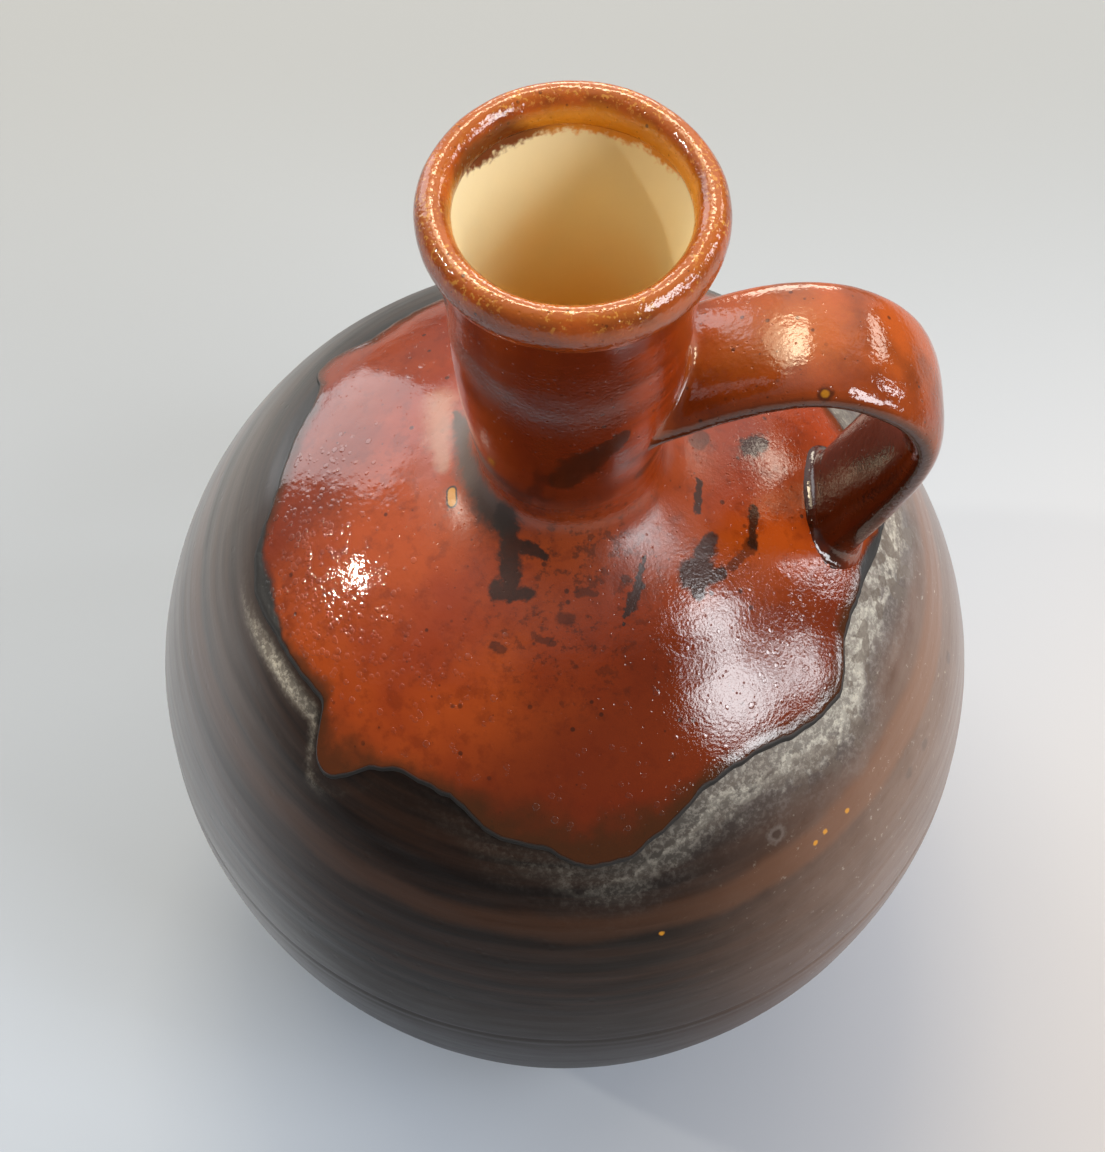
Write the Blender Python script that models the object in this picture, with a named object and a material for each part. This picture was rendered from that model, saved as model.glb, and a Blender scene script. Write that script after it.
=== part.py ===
"""A stoneware bottle: a thrown globe, a thrown neck with a rolled lip, one strap handle, and its glazes.

Metres, +Z up. The origin is the middle of the flat foot, and the handle points along +X.
"""

import math

import bmesh
import bpy
from mathutils import Vector
from mathutils.geometry import interpolate_bezier

# Body: sizes of the glazed belly, and the walls of clay behind it.
BELLY_RADIUS = 0.095
BELLY_HEIGHT = 0.092
SHOULDER_RISE = 0.096
FOOT_RADIUS = 0.060
FOOT_CHAMFER = 0.0015
BARE_FOOT = 0.004
BODY_WALL = 0.006
FLOOR_WALL = 0.009

# Neck: radii of its glazed outside, and its whole thickness with both glazes.
NECK_ROOT_RADIUS = 0.0169
NECK_RADIUS = 0.0213
NECK_FILLET = 0.007
NECK_TAPER_HEIGHT = 0.0445
NECK_FLARE_HEIGHT = 0.0225
NECK_ROOT_WALL = 0.0054
NECK_TOP_WALL = 0.0044

# Rolled lip: an oval section, measured over the glaze, and how far it stands out past the neck's top.
# Angle 0 points outwards, 90 degrees up.
LIP_RADIUS = 0.0223
LIP_HALF_WIDTH = 0.0030
LIP_HALF_HEIGHT = 0.0045
LIP_LIFT = 0.004
LIP_OVERHANG = 0.0016
LIP_OUTER_END = math.radians(-55)
LIP_INNER_END = math.radians(185)

# Strap handle: its middle line, whose pulls are shares of the run to the next turn,
# and its glazed width and thickness at the neck, the crest and the shoulder.
HANDLE_BELOW_LIP = 0.045
HANDLE_RISE = 0.010
HANDLE_CREST_REACH = 0.022
HANDLE_REACH = 0.0445
HANDLE_OUTER_DROP = 0.020
HANDLE_ROOT_RADIUS = 0.055
HANDLE_EMBED = 0.006
NECK_EMBED = 0.007
NECK_PULL = 0.4
TURN_PULL = 0.52
ROOT_PULL = 0.35
STRAP_WIDTHS = (0.0265, 0.0255, 0.0225)
STRAP_THICKNESSES = (0.0085, 0.0075, 0.0130)
STRAP_SQUARENESS = 2.6

# Coats of glaze, and the clearance that keeps touching pieces apart.
GLAZE = 0.0008
LINER_GLAZE = 0.0006
APRON_GLAZE = 0.0007
CLEARANCE = 0.0003
LUTING_OVERHANG = 0.0005

# The poured apron ends this far round from the top. Each run adds to it: where, how far, how wide.
APRON_END = math.radians(40.5)
APRON_RUNS = (
    (math.radians(-85), math.radians(9.0), math.radians(12)),
    (math.radians(-104), math.radians(2.4), math.radians(8)),
    (math.radians(-132), math.radians(7.5), math.radians(5)),
    (math.radians(-163), math.radians(3.6), math.radians(13)),
    (math.radians(-40), math.radians(3.8), math.radians(11)),
    (math.radians(6), math.radians(4.0), math.radians(9)),
    (math.radians(60), math.radians(6.0), math.radians(11)),
    (math.radians(98), math.radians(3.0), math.radians(8)),
    (math.radians(144), math.radians(3.4), math.radians(6)),
)

# How finely the round shapes are cut.
TURN_STEPS = 32
GLOBE_STEP = math.radians(10)
NECK_STEPS = 4
FILLET_STEPS = 3
LIP_STEPS = 7
APRON_COLUMNS = 96
APRON_ROWS = 7
PATH_STEPS = 5
SECTION_POINTS = 12
POLE_MERGE = 0.00005
CORE_FINENESS = 3

# How deep each surface lies under the glaze outside it, or behind the lining.
CLAY_DEPTH = GLAZE + CLEARANCE
INNER_DEPTH = CLAY_DEPTH + BODY_WALL
LINER_DEPTH = LINER_GLAZE + CLEARANCE
APRON_PROUD = APRON_GLAZE + CLEARANCE

BELLY_DROP = BELLY_HEIGHT / math.sqrt(1 - (FOOT_RADIUS / BELLY_RADIUS) ** 2)
COLLAR_RADIUS = NECK_ROOT_RADIUS + NECK_FILLET
NECK_TOP_RADIUS = LIP_RADIUS + LIP_HALF_WIDTH - LIP_OVERHANG
WIDEST = math.radians(90)


def globe_point(angle, depth):
    """A point of the belly's section, this deep under its glaze: 0 is the top, 90 degrees the widest."""
    rise = SHOULDER_RISE if angle < WIDEST else BELLY_DROP
    radius = (BELLY_RADIUS - depth) * math.sin(angle)
    return radius, BELLY_HEIGHT + (rise - depth) * math.cos(angle)


def angle_at_radius(radius, depth):
    """Where the shoulder's section is this far from the axis."""
    return math.asin(radius / (BELLY_RADIUS - depth))


def angle_at_height(height, depth):
    """Where the lower belly's section is at this height."""
    return math.acos((height - BELLY_HEIGHT) / (BELLY_DROP - depth))


def globe_arc(start, end, depth, fineness=1):
    """The section from one angle down to another, its inner points at the same angles at every depth."""
    step = GLOBE_STEP / fineness
    marks = [n * step for n in range(math.ceil(math.pi / step))]
    spacing = step / 4
    between = [angle for angle in marks if start + spacing < angle < end - spacing]
    return [globe_point(angle, depth) for angle in (start, *between, end)]


def shoulder_height(radius):
    """The height of the apron's outer face this far from the axis."""
    return globe_point(angle_at_radius(radius, -APRON_PROUD), -APRON_PROUD)[1]


NECK_BASE = shoulder_height(COLLAR_RADIUS) + NECK_FILLET
NECK_WAIST = NECK_BASE + NECK_TAPER_HEIGHT
NECK_TOP = NECK_WAIST + NECK_FLARE_HEIGHT
LIP_HEIGHT = NECK_TOP + LIP_LIFT
LINER_TOP = LIP_HEIGHT + LIP_HALF_HEIGHT * math.sin(LIP_INNER_END) - CLEARANCE


def neck_radius(height):
    """The glazed neck: it widens quickly above its root, stands upright, and flares under the lip."""
    taper = min(max((height - NECK_BASE) / NECK_TAPER_HEIGHT, 0), 1)
    flare = max((height - NECK_WAIST) / NECK_FLARE_HEIGHT, 0)
    widened = (NECK_RADIUS - NECK_ROOT_RADIUS) * (1 - (1 - taper) ** 2)
    return NECK_ROOT_RADIUS + widened + (NECK_TOP_RADIUS - NECK_RADIUS) * flare**2


def throat_radius(height):
    """The lined inside of the neck, whose wall thins towards the lip."""
    share = max((height - NECK_BASE) / (NECK_TOP - NECK_BASE), 0)
    return neck_radius(height) - NECK_ROOT_WALL - (NECK_TOP_WALL - NECK_ROOT_WALL) * share


def neck_heights():
    """Heights up the neck, from its fillet to its top."""
    taper = [NECK_BASE + NECK_TAPER_HEIGHT * n / NECK_STEPS for n in range(NECK_STEPS)]
    flare = [NECK_WAIST + NECK_FLARE_HEIGHT * n / NECK_STEPS for n in range(NECK_STEPS + 1)]
    return taper + flare


def neck_side(depth):
    """The outside of the neck from its top down to the shoulder, this deep under its glaze."""
    side = [(neck_radius(height) - depth, height) for height in reversed(neck_heights())]
    reach = NECK_FILLET + depth
    for n in range(1, FILLET_STEPS + 1):
        turn = WIDEST * n / FILLET_STEPS
        side.append((COLLAR_RADIUS - reach * math.cos(turn), NECK_BASE - reach * math.sin(turn)))
    return side


def throat_side(depth):
    """The inside of the neck from its root up to its top, this deep behind the lining."""
    return [(throat_radius(height) + depth, height) for height in neck_heights()]


def lip_arc(start, end, depth):
    """The lip's oval from one angle to another, this deep under its glaze."""
    arc = []
    for n in range(LIP_STEPS + 1):
        angle = start + (end - start) * n / LIP_STEPS
        radius = LIP_RADIUS + (LIP_HALF_WIDTH - depth) * math.cos(angle)
        arc.append((radius, LIP_HEIGHT + (LIP_HALF_HEIGHT - depth) * math.sin(angle)))
    return arc


def cup(depth, floor, hole):
    """The inside of the body from the middle of its floor up to the hole under the neck."""
    arc = globe_arc(angle_at_radius(hole, depth), angle_at_height(floor, depth), depth)
    return [(0, floor)] + arc[::-1]


def apron_end(azimuth):
    """How far round from the top the apron reaches on this side of the bottle."""
    end = APRON_END
    for middle, drop, width in APRON_RUNS:
        away = math.remainder(azimuth - middle, math.tau)
        end += drop * math.exp(-((away / width) ** 2))
    return end


def finish(name, colour, roughness):
    material = bpy.data.materials.new(name)
    material.use_nodes = True
    shader = material.node_tree.nodes["Principled BSDF"]
    shader.inputs["Base Color"].default_value = (*colour, 1)
    shader.inputs["Roughness"].default_value = roughness
    shader.inputs["Metallic"].default_value = 0
    return material


def add(name, mesh, material):
    piece = bpy.data.objects.new(name, mesh)
    bpy.context.scene.collection.objects.link(piece)
    mesh.materials.append(material)
    return piece


def turned(name, section, material, ring, fineness=1):
    """A piece turned round Z. Its section runs down the outside; a ring's section closes on itself."""
    edges = [(n, n + 1) for n in range(len(section) - 1)]
    if ring:
        edges.append((len(section) - 1, 0))
    mesh = bpy.data.meshes.new(name)
    mesh.from_pydata([(radius, 0, height) for radius, height in section], edges, [])
    piece = add(name, mesh, material)
    turn = piece.modifiers.new("turn", "SCREW")
    turn.steps = turn.render_steps = TURN_STEPS * fineness
    turn.use_merge_vertices = True
    turn.merge_threshold = POLE_MERGE
    turn.use_smooth_shade = True
    return piece


def as_cutter(piece):
    piece.hide_render = True
    piece.display_type = "WIRE"
    return piece


def cut(piece, cutter, operation="DIFFERENCE"):
    boolean = piece.modifiers.new(f"{operation.lower()} {cutter.name}", "BOOLEAN")
    boolean.object = cutter
    boolean.operation = operation
    boolean.solver = "EXACT"


def make_body_wall(clay):
    hole = throat_radius(NECK_BASE) + LINER_DEPTH
    side_end = angle_at_height(FOOT_CHAMFER, CLAY_DEPTH)
    side = globe_arc(angle_at_radius(hole, CLAY_DEPTH), side_end, CLAY_DEPTH)
    foot = [(side[-1][0] - FOOT_CHAMFER, 0), (0, 0)]
    return turned("body_wall", cup(INNER_DEPTH, FLOOR_WALL, hole) + side + foot, clay, ring=False)


def make_neck_collar(clay):
    seat_depth = CLAY_DEPTH - CLEARANCE
    hole = throat_radius(NECK_BASE) + LINER_DEPTH
    seat_ends = angle_at_radius(hole, seat_depth), angle_at_radius(COLLAR_RADIUS, seat_depth)
    section = lip_arc(LIP_INNER_END, LIP_OUTER_END, CLAY_DEPTH) + neck_side(CLAY_DEPTH)
    section += globe_arc(*seat_ends, seat_depth)[::-1] + throat_side(LINER_DEPTH)
    return turned("neck_collar", section, clay, ring=True)


def make_liner_glaze(cream):
    top = LIP_RADIUS - LIP_HALF_WIDTH
    floor = FLOOR_WALL + LINER_DEPTH
    lined = cup(INNER_DEPTH + LINER_DEPTH, floor, throat_radius(NECK_BASE)) + throat_side(0)
    back_hole = throat_radius(NECK_BASE) + LINER_GLAZE
    back = cup(INNER_DEPTH + CLEARANCE, FLOOR_WALL + CLEARANCE, back_hole) + throat_side(LINER_GLAZE)
    edge = [(top, LINER_TOP), (top + LINER_GLAZE, LINER_TOP)]
    return turned("liner_glaze", lined + edge + back[::-1], cream, ring=False)


def make_belly_glaze(pewter):
    def face(depth):
        top = angle_at_radius(COLLAR_RADIUS + CLEARANCE, depth)
        return globe_arc(top, angle_at_height(BARE_FOOT, depth), depth)

    return turned("belly_glaze", face(0) + face(GLAZE)[::-1], pewter, ring=True)


def make_neck_glaze(rust):
    return turned("neck_glaze", neck_side(0) + neck_side(GLAZE)[::-1], rust, ring=True)


def make_rim_glaze(amber):
    outside = lip_arc(LIP_INNER_END, LIP_OUTER_END, 0)
    inside = lip_arc(LIP_OUTER_END, LIP_INNER_END, GLAZE)
    return turned("rim_glaze", outside + inside, amber, ring=True)


def make_shoulder_apron(rust):
    """The poured coat over the shoulder: two faces, joined along the collar and along the runs."""

    def face(mesh, depth):
        rows = []
        for row in range(APRON_ROWS + 1):
            ring = []
            for column in range(APRON_COLUMNS):
                azimuth = math.tau * column / APRON_COLUMNS
                top = angle_at_radius(COLLAR_RADIUS + CLEARANCE, depth)
                share = row / APRON_ROWS
                angle = top + (APRON_END - top) * share + (apron_end(azimuth) - APRON_END) * share**3
                radius, height = globe_point(angle, depth)
                ring.append(mesh.verts.new((radius * math.cos(azimuth), radius * math.sin(azimuth), height)))
            rows.append(ring)
        return rows

    shape = bmesh.new()
    rings = face(shape, -APRON_PROUD) + face(shape, -CLEARANCE)[::-1]
    for upper, lower in zip(rings, rings[1:] + rings[:1]):
        for n in range(APRON_COLUMNS):
            after = (n + 1) % APRON_COLUMNS
            shape.faces.new((upper[n], lower[n], lower[after], upper[after]))
    mesh = bpy.data.meshes.new("shoulder_apron")
    shape.to_mesh(mesh)
    shape.free()
    mesh.shade_smooth()
    return add("shoulder_apron", mesh, rust)


def handle_path():
    """The strap's middle line: out of the neck, over its crest, down, and into the shoulder."""
    neck_height = LIP_HEIGHT - HANDLE_BELOW_LIP
    neck = neck_radius(neck_height)
    crest_height = neck_height + HANDLE_RISE
    outer_height = crest_height - HANDLE_OUTER_DROP
    root_height = shoulder_height(HANDLE_ROOT_RADIUS)
    reach_left = HANDLE_REACH - HANDLE_CREST_REACH
    drop_left = outer_height - root_height
    crest_run = HANDLE_CREST_REACH * NECK_PULL
    knots = (
        Vector((neck - HANDLE_EMBED, 0, neck_height - HANDLE_EMBED / 2)),
        Vector((neck + HANDLE_CREST_REACH, 0, crest_height)),
        Vector((neck + HANDLE_REACH, 0, outer_height)),
        Vector((HANDLE_ROOT_RADIUS - HANDLE_EMBED / 3, 0, root_height - HANDLE_EMBED)),
    )
    pulls = (
        (Vector((crest_run, 0, HANDLE_RISE / 2)), Vector((-crest_run, 0, 0))),
        (Vector((reach_left * TURN_PULL, 0, 0)), Vector((0, 0, HANDLE_OUTER_DROP * TURN_PULL))),
        (Vector((0, 0, -drop_left * ROOT_PULL)), Vector((HANDLE_EMBED / 2, 0, drop_left * ROOT_PULL))),
    )
    path = [knots[0] - pulls[0][0].normalized() * NECK_EMBED]
    for n, (leaving, arriving) in enumerate(pulls):
        start, end = knots[n], knots[n + 1]
        path += interpolate_bezier(start, start + leaving, end + arriving, end, PATH_STEPS + 1)[n > 0 :]
    return path


def eased(values, share):
    """A size along the strap, given at its neck end, its crest and its shoulder end."""
    start, middle, end = values
    if share < 0.5:
        return start + (middle - start) * math.sin(math.pi * share)
    return end + (middle - end) * math.sin(math.pi * share)


def strap_rings(shape, stations, depth):
    """Closed rings of points round the strap at the given stations of its path."""
    path = handle_path()
    last = len(path) - 1
    rings = []
    for n in stations:
        along = (path[min(n + 1, last)] - path[max(n - 1, 0)]).normalized()
        outward = Vector((-along.z, 0, along.x))
        half_width = eased(STRAP_WIDTHS, n / last) / 2 - depth
        half_thickness = eased(STRAP_THICKNESSES, n / last) / 2 - depth
        ring = []
        for point in range(SECTION_POINTS):
            angle = math.tau * point / SECTION_POINTS
            across = math.copysign(abs(math.cos(angle)) ** (2 / STRAP_SQUARENESS), math.cos(angle))
            over = math.copysign(abs(math.sin(angle)) ** (2 / STRAP_SQUARENESS), math.sin(angle))
            side = Vector((0, across * half_width, 0))
            ring.append(shape.verts.new(path[n] + side + outward * over * half_thickness))
        rings.append(ring)
    return rings


def strap(name, material, depth, hollow_depth=None, stations=None):
    """The strap this deep under its glaze, solid or as a sleeve, over all or some of its path."""
    stations = stations or range(len(handle_path()))
    shape = bmesh.new()
    rings = strap_rings(shape, stations, depth)
    if hollow_depth is None:
        shape.faces.new(rings[0])
        shape.faces.new(rings[-1][::-1])
    else:
        rings += strap_rings(shape, stations, hollow_depth)[::-1]
        rings.append(rings[0])
    for ring, following in zip(rings, rings[1:]):
        for n in range(SECTION_POINTS):
            after = (n + 1) % SECTION_POINTS
            shape.faces.new((ring[n], following[n], following[after], ring[after]))
    bmesh.ops.recalc_face_normals(shape, faces=shape.faces)
    mesh = bpy.data.meshes.new(name)
    shape.to_mesh(mesh)
    shape.free()
    mesh.shade_smooth()
    return add(name, mesh, material)


def core(name, neck_depth, globe_depth, material):
    """The neck and shoulder as one solid, used to trim what stands on them."""
    collar = angle_at_radius(COLLAR_RADIUS, globe_depth)
    arc = globe_arc(collar, WIDEST, globe_depth, CORE_FINENESS)
    section = [(0, NECK_TOP)] + neck_side(neck_depth)[:-1] + arc + [(0, BELLY_HEIGHT)]
    return as_cutter(turned(name, section, material, False, CORE_FINENESS))


def make_handle(clay, rust, coats):
    """The strap, its two luted joints and its glaze, and the places they take in the other coats."""
    middle = len(handle_path()) // 2
    glazed = core("glazed_core", 0, -APRON_PROUD, clay)
    clear_of_glaze = core("clear_of_glaze", -CLEARANCE, -APRON_PROUD - CLEARANCE, clay)
    clear_of_clay = core("clear_of_clay", CLAY_DEPTH - CLEARANCE, CLAY_DEPTH - CLEARANCE, clay)
    roots = as_cutter(strap("handle_roots", clay, 0))
    for piece in (strap("handle_strap", clay, CLAY_DEPTH), strap("handle_glaze", rust, 0, GLAZE)):
        cut(piece, clear_of_glaze)
    halves = {"upper_luting": range(middle + 1), "lower_luting": range(middle, len(handle_path()))}
    for name, stations in halves.items():
        luting = strap(name, clay, CLAY_DEPTH - LUTING_OVERHANG, stations=stations)
        cut(luting, glazed, "INTERSECT")
        cut(luting, clear_of_clay)
    for coat in coats:
        cut(coat, roots)


def main():
    for item in list(bpy.data.objects):
        bpy.data.objects.remove(item)
    clay = finish("stoneware_clay", (0.34, 0.20, 0.12), 0.85)
    cream = finish("cream_liner_glaze", (0.82, 0.66, 0.38), 0.3)
    pewter = finish("pewter_belly_glaze", (0.075, 0.055, 0.048), 0.4)
    rust = finish("rust_shoulder_glaze", (0.36, 0.075, 0.018), 0.15)
    amber = finish("amber_rim_glaze", (0.40, 0.13, 0.03), 0.15)
    make_body_wall(clay)
    make_neck_collar(clay)
    make_liner_glaze(cream)
    make_rim_glaze(amber)
    coats = make_belly_glaze(pewter), make_shoulder_apron(rust), make_neck_glaze(rust)
    make_handle(clay, rust, coats)


main()
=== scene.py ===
"""The finished looks of a stoneware bottle: its glazes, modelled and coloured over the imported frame.

Metres, +Z up along the bottle's axis. The handle points along +X and the camera stands towards -Y.
Angles on the bottle are given round its axis from the handle, and down from the top of the belly.
"""

import functools
import math
import random

import bpy
import numpy as np
from mathutils import Matrix, Vector, noise
from mathutils.geometry import interpolate_bezier


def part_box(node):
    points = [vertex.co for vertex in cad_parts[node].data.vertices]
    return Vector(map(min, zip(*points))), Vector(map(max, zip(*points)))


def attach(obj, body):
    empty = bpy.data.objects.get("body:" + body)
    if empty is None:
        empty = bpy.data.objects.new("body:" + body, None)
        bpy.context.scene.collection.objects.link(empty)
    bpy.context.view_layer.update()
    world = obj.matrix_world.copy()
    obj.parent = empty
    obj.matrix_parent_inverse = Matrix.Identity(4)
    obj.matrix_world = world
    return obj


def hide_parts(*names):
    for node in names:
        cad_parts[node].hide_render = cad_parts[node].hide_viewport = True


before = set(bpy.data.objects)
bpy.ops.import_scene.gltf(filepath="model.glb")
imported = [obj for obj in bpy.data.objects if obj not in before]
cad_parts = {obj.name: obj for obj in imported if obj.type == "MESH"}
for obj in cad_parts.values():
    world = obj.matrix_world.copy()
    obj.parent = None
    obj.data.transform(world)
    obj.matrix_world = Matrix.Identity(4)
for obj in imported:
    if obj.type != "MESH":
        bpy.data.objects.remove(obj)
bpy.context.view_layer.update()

QUARTER_TURN = math.radians(90)

# Belly: two half ellipses in section, and the glaze on it from its top down to the bare foot.
BELLY_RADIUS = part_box("belly_glaze")[1].x
BARE_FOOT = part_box("belly_glaze")[0].z
BELLY_HEIGHT = 0.092
SHOULDER_RISE = 0.096
FOOT_RADIUS = 0.060
BELLY_DROP = BELLY_HEIGHT / math.sqrt(1 - (FOOT_RADIUS / BELLY_RADIUS) ** 2)
GLAZE = 0.0008
COAT_TOP = math.radians(30)

# The belly's throwing lines wind round it, and change a little on the way. Each groove has a height, a half
# width and a depth.
LINE_PITCH = 0.004
LINE_SWAY = 0.02
GROOVES = ((0.1018, 0.0006, 0.00030), (0.0985, 0.0005, 0.00016))

# The crust under the poured glaze, on the right, and a narrow one on the left. A side is given in degrees
# round from the handle, with how far it reaches.
CRUST_REACH = 0.030
CRUST_SIDE = (-25, 40)
CRUST_HEIGHT = 0.00022
CRUST_FILL = 0.2
LEFT_CRUST = 0.8
LEFT_CRUST_BAND = (0.0034, 0.0016)
LEFT_CRUST_SIDE = (-149, 11)

# The uneven hem of the glaze above the bare foot.
HEM_RING = 0.1
HEM_RANGE = (-0.0012, 0.0015)
HEM_TOP = 0.02
HEM_FADE = 0.016

# Neck and lip, over the glaze.
NECK_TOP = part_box("neck_glaze")[1].z
NECK_ROOT_RADIUS = 0.0169
NECK_RADIUS = 0.0213
NECK_TOP_RADIUS = 0.0237
NECK_TAPER_HEIGHT = 0.0445
NECK_FLARE_HEIGHT = 0.0225
NECK_WAIST = NECK_TOP - NECK_FLARE_HEIGHT
NECK_BASE = NECK_WAIST - NECK_TAPER_HEIGHT
NECK_ROOT_WALL = 0.0054
NECK_TOP_WALL = 0.0044
LIP_RADIUS = 0.0223
LIP_HALF_WIDTH = 0.0030
LIP_HALF_HEIGHT = 0.0045
LIP_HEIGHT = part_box("rim_glaze")[1].z - LIP_HALF_HEIGHT

# Inside: how deep the lining lies under the outer glaze, how thick it is, and the floor's height.
LINING_DEPTH = 0.0080
LINING = 0.0006
LINING_TUCK = 0.0002
FLOOR_HEIGHT = 0.0099

# Poured glaze: how far it stands above the belly and sinks into it, the roll along its edge, and how far in
# from the edge its swells are full. The neck is marked as far from the edge.
POUR_THICKNESS = 0.0009
POUR_SINK = 0.0003
ROLL_HEIGHT = 0.00015
ROLL_MIDDLE = 0.0018
ROLL_WIDTH = 0.0014
NOSE_WIDTH = 0.0013
FAR_FROM_EDGE = 0.03
STEADY_EDGE = 0.004

# Its black edge, and the two sides where that is wider.
DARK_EDGE = 0.0015
LEFT_DARK_EDGE = 0.0042
LEFT_DARK_SIDE = (-164, 9)
ROOT_DARK_EDGE = 0.0022
ROOT_DARK_SIDE = (-7, 6)

# Where it runs from the neck out onto the shoulder, and how the neck's throwing lines fade out there.
NECK_TUCK = 0.0008
FILLET_TOP = 0.006
FILLET_RADIUS = 0.031
FILLET_PULL = 0.0085
NECK_FADE_DROP = 0.004
NECK_FADE = 0.01
RING_SWAY = 0.01

# The edge of the poured glaze, in degrees round from the handle and down from the top.
POUR_EDGE = (
    (-180, 40.2), (-176, 41.7), (-171, 43.3), (-164, 44.2), (-157, 43.2), (-150, 42.6), (-142, 42.3),
    (-138.5, 42), (-137, 43), (-135.5, 45.8), (-134, 48.6), (-131.5, 49.7), (-129, 49.2), (-125, 45.2),
    (-120, 43), (-115, 43), (-109, 43.4), (-105, 45), (-101, 46.7), (-96, 47.3), (-92.5, 47.4),
    (-90, 48.7), (-86, 50), (-79, 49.5), (-75.5, 47.6), (-70, 45.4), (-65, 43.2), (-60, 42.7),
    (-53, 42.4), (-47, 43.6), (-40, 44.7), (-34, 44.7), (-31, 43.8), (-27.5, 41.4), (-22, 40.7),
    (-13, 41), (-7, 42.4), (3, 44.9), (12, 43.2), (24, 40.6), (38, 40), (50, 42.5), (58, 46),
    (66, 45.4), (74, 41.6), (88, 40.4), (97, 43), (106, 40.6), (119, 38.3), (129, 38.7), (137, 38.8),
    (140, 41), (144, 43.6), (147.5, 43.6), (151, 40), (155, 39), (164, 38.9), (173, 39.2),
)
USUAL_END = math.radians(43)
SHORT_RUN = 44
LONG_RUN = 49

# How that edge's corners are softened: shifts round in degrees, and the weight of each.
SOFTENING = ((-1.6, 1), (-0.8, 2), (0, 3), (0.8, 2), (1.6, 1))

# Unevenness, in layers: how high it stands, the size of its lumps, and how many octaves it has.
BELLY_LINES = ((0.00007, 0.0024, 1), (0.00016, 0.011, 1))
BELLY_SWELLS = (0.00025, 0.045, 1)
CRUST_LUMPS = (1, 0.005, 3)
HEM_WAVES = (0.0009, 0.018, 2)
EDGE_WAVES = (math.radians(0.28), 0.05, 2)
SHOULDER_SWELLS = ((0.00020, 0.016, 1), (0.00005, 0.0045, 2))
NECK_LINES = ((0.00004, 0.0035, 1), (0.00007, 0.012, 1))
LIP_SWELLS = ((0.00022, 0.014, 1), (0.00006, 0.004, 2))
LINING_LINES = (0.00010, 0.005, 1)
STRAP_SWELLS = ((0.00035, 0.016, 1), (0.00007, 0.005, 2))

# The lip's glaze runs from its inner to its outer end, 0 pointing out and 90 degrees up.
LIP_INNER_END = math.radians(196)
LIP_OUTER_END = math.radians(-66)

# Strap handle: its middle line, and its glazed width and thickness at the neck, the crest and the root.
HANDLE_BELOW_LIP = 0.045
HANDLE_RISE = 0.010
HANDLE_CREST_REACH = 0.022
HANDLE_REACH = 0.0445
HANDLE_OUTER_DROP = 0.020
HANDLE_ROOT_RADIUS = 0.055
HANDLE_EMBED = 0.006
NECK_PULL = 0.4
TURN_PULL = 0.52
ROOT_PULL = 0.35
STRAP_WIDTHS = (0.0265, 0.0255, 0.0225)
STRAP_THICKNESSES = (0.0085, 0.0075, 0.0130)
STRAP_SQUARENESS = 2.6

# Where the strap meets the bottle: the neck's face counts from this far above its root, a fillet lands just
# under the glaze, the ends sink further in, and the strap's swells are full this far off the glaze.
ROOT_FILLET = 0.0032
NECK_SKIN = 0.012
SKIN_STEP = 0.0002
LANDING_SINK = 0.0001
END_SINK = 0.0012
END_TUCK = 0.0015
STEADY_ROOT = 0.004

# Blisters in the poured glaze, in clusters: degrees round from the handle and down from the top, the spread
# each way, and how many.
BLISTERS = (
    (-160, 34, 13, 4.5, 360),
    (177, 31, 7, 4, 60),
    (-131, 30, 13, 3.5, 110),
    (-146, 38, 10, 3, 40),
    (-108, 39, 16, 4, 30),
    (-75, 40, 14, 5, 40),
    (-33, 36, 15, 4.5, 90),
    (60, 30, 60, 6, 60),
)
BLISTER_RADII = (0.0003, 0.0007)
BLISTER_SCALES = (0.7, 1.2)
BLISTER_SQUAT = (0.05, 0.10)
BLISTER_INSET = 0.0045
BLISTER_SEGMENTS = 10
BLISTER_RINGS = 6
BLISTER_CUT = -0.6
BLISTER_SEED = 7

# How finely the pieces are cut. The rows by the poured edge lie at these gaps from it, in millimetres.
BELLY_TURNS = 300
BELLY_ROWS = 240
BELLY_BACK_ROWS = 12
POUR_TURNS = 480
NECK_ROWS = 46
NECK_BACK_STEP = 5
FILLET_POINTS = 16
SHOULDER_ROWS = 64
SHOULDER_SHARES = np.linspace(0, 1, SHOULDER_ROWS + 2)[1:-1]
EDGE_ROWS = (8, 7.2, 6.4, 5.7, 5, 4.4, 3.8, 3.2, 2.7, 2.2, 1.8, 1.4, 1.05, 0.75, 0.5, 0.3, 0.14, 0.04, 0)
EDGE_GAPS = np.array(EDGE_ROWS) / 1000
UNDER_ROWS = 10
UNDER_SHARES = np.linspace(0, 1, UNDER_ROWS)
LIP_TURNS = 240
LIP_ROWS = 56
LIP_BACK_ROWS = 18
LINING_TURNS = 128
THROAT_ROWS = 40
CUP_ROWS = 48
STRAP_SIDES = 64
STRAP_ROWS = 96
STRAP_PATH_POINTS = 60
STRAP_SAMPLES = 1200
ROOT_FILLET_ROWS = 10
SEAM = 0.000004

# Camera: where it stands and how it is turned.
CAMERA_PLACE = (0.0, -0.181, 0.4924)
CAMERA_PITCH = math.radians(63.02)
CAMERA_YAW = math.radians(0.94)
CAMERA_ROLL = math.radians(0.21)
CAMERA_LENS = 56.25
SENSOR = 36.0

# How bright the room is where it is dimmest and brightest, the way to its bright side, and how near to that
# way it starts to brighten.
ROOM_LOW = 0.12
ROOM_HIGH = 0.78
ROOM_BRIGHT_WAY = (-0.25, 0.62, 0.745)
ROOM_BRIGHT_FROM = 0.35
WHITE = (1, 1, 1, 1)

FLOOR_RADIUS = 2.5
FLOOR_SIDES = 96

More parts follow.
